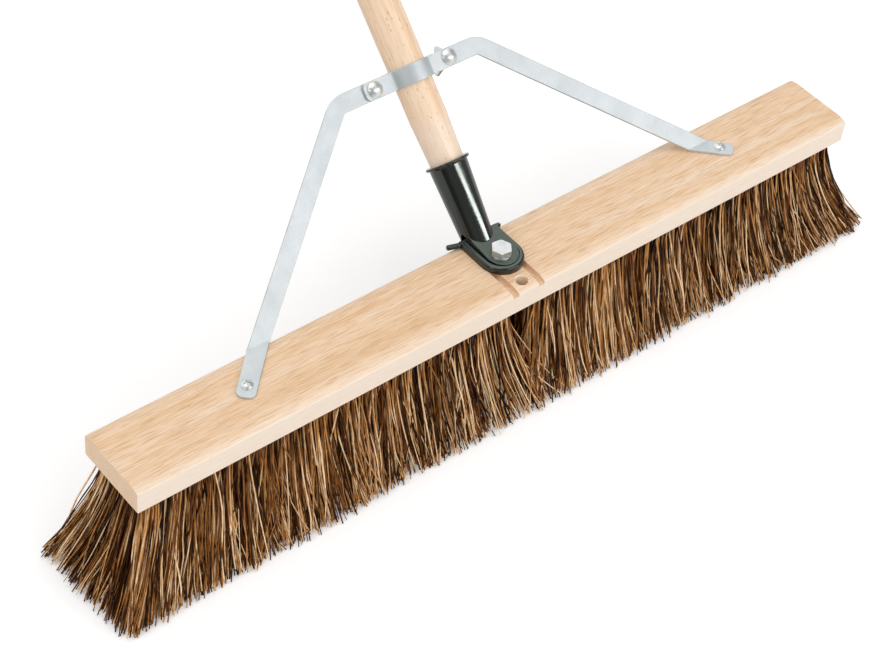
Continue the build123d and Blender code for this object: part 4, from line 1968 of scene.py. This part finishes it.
@dataclass
class Studio:
    """The white floor, the soft light and the camera at the photograph's angle."""

    # The camera
    eye: Triple = (-0.7470, -0.71315, 1.0893)
    azimuth: float = 44.56
    elevation: float = 45.52
    roll: float = 7.45
    lens: float = 87.36
    sensor: float = 36.0
    # The surroundings
    ambient: float = 0.63
    bright_side: Triple = (0.15, -0.35, 0.32)
    dark_sides: tuple[Triple, ...] = ((-0.48, -0.71, 0.51), (0.94, -0.23, 0.24), (-0.99, -0.04, 0.05))
    dark_spans: tuple[Pair, ...] = ((0.45, 0.78), (0.62, 0.86), (0.7, 0.95))
    dark_level: float = 0.4
    # The floor
    floor_size: float = 14.0
    floor_colour: str = "#F2F2F2"
    floor_lift: float = 0.25

    def build(self) -> None:
        """Sets up the world, the lamps, the floor and the camera."""
        bpy.context.scene.view_settings.view_transform = "Standard"
        self.world()
        for lamp in LAMPS:
            lamp.hang()
        self.floor()
        self.camera()

    def world(self) -> None:
        """Makes the white surroundings, which are dimmer as light and have three dark sides in mirrors."""
        world = bpy.data.worlds.new("white_room")
        bpy.context.scene.world = world
        world.use_nodes = True
        tree = world.node_tree
        tree.nodes.clear()
        rays = add_node(tree, "LightPath").outputs
        heading = add_node(tree, "TexCoord").outputs["Generated"]
        lean = add_node(tree, "VectorMath", {0: heading, 1: self.bright_side}, operation="DOT_PRODUCT")
        glow = add_node(
            tree,
            "Math",
            {0: lean.outputs["Value"], 1: self.ambient, 2: self.ambient},
            operation="MULTIPLY_ADD",
        )
        level = glow.outputs[0]
        for ray in ("Is Camera Ray", "Is Glossy Ray", "Is Transmission Ray"):
            white = {Mix.SHARE: rays[ray], Mix.NUMBER_A: level, Mix.NUMBER_B: 1.0}
            level = add_node(tree, "Mix", white, data_type="FLOAT").outputs[0]
        for side, (start, full) in zip(self.dark_sides, self.dark_spans):
            near = add_node(tree, "VectorMath", {0: heading, 1: side}, operation="DOT_PRODUCT")
            shade = add_node(
                tree,
                "MapRange",
                {
                    "Value": near.outputs["Value"],
                    "From Min": start,
                    "From Max": full,
                    "To Min": 1.0,
                    "To Max": self.dark_level,
                },
                interpolation_type="SMOOTHSTEP",
            )
            mirrored = add_node(
                tree,
                "Mix",
                {Mix.SHARE: rays["Is Glossy Ray"], Mix.NUMBER_A: 1.0, Mix.NUMBER_B: shade.outputs[0]},
                data_type="FLOAT",
            )
            dimmed = {0: level, 1: mirrored.outputs[0]}
            level = add_node(tree, "Math", dimmed, operation="MULTIPLY").outputs[0]
        light = add_node(tree, "Background", {"Color": linear(WHITE), "Strength": level})
        add_node(tree, "OutputWorld", {"Surface": light.outputs[0]})

    def floor(self) -> None:
        """Lays the white floor, which keeps the broom's soft shadow and is lifted a little to the eye."""
        bm = bmesh.new()
        bmesh.ops.create_grid(bm, x_segments=1, y_segments=1, size=self.floor_size / 2)
        mesh = bpy.data.meshes.new("floor")
        bm.to_mesh(mesh)
        bm.free()
        material, tree = new_material("white_paper")
        rays = add_node(tree, "LightPath").outputs
        lift = add_node(tree, "MapRange", {"Value": rays["Is Camera Ray"], "To Max": self.floor_lift})
        paper = add_node(tree, "BsdfDiffuse", {"Color": linear(self.floor_colour)})
        glow = add_node(tree, "Emission", {"Color": linear(WHITE), "Strength": lift.outputs[0]})
        both = add_node(tree, "AddShader", {0: paper.outputs[0], 1: glow.outputs[0]})
        add_node(tree, "OutputMaterial", {"Surface": both.outputs[0]})
        mesh.materials.append(material)
        floor = shown("floor", mesh)

    def camera(self) -> None:
        """Sets the camera up."""
        azimuth, elevation, roll = (math.radians(a) for a in (self.azimuth, self.elevation, self.roll))
        level = Vector((math.cos(azimuth), -math.sin(azimuth), 0))
        away = Vector((math.sin(azimuth), math.cos(azimuth), 0))
        ahead = away * math.cos(elevation) - Vector(UP) * math.sin(elevation)
        upright = level.cross(ahead)
        right = level * math.cos(roll) + upright * math.sin(roll)
        up = upright * math.cos(roll) - level * math.sin(roll)
        data = bpy.data.cameras.new("camera")
        data.sensor_fit = "HORIZONTAL"
        data.sensor_width = self.sensor
        data.lens = self.lens
        camera = shown("camera", data)
        turn = Matrix((right, up, -ahead)).transposed().to_4x4()
        camera.matrix_world = Matrix.Translation(self.eye) @ turn
        bpy.context.scene.camera = camera


def main() -> None:
    """Builds every sub-assembly in order, then the studio."""
    logging.basicConfig(level=logging.INFO, format="%(message)s")
    straight, clamped = OnHandle.straight(), OnHandle.clamped()
    assemblies = [
        BroomHead(),
        BristleBed(),
        HandleStick(straight),
        SocketBracket(straight),
        BracketBolt(),
        BraceArm(clamped, Side.RIGHT),
        BraceArm(clamped, Side.LEFT),
        ClampFastener(clamped, Side.LEFT),
        ClampFastener(clamped, Side.RIGHT),
        FootScrews(),
    ]
    for assembly in assemblies:
        LOG.info("Building %s", type(assembly).__name__)
        assembly.build()
    Studio().build()


if __name__ == "__main__":
    main()
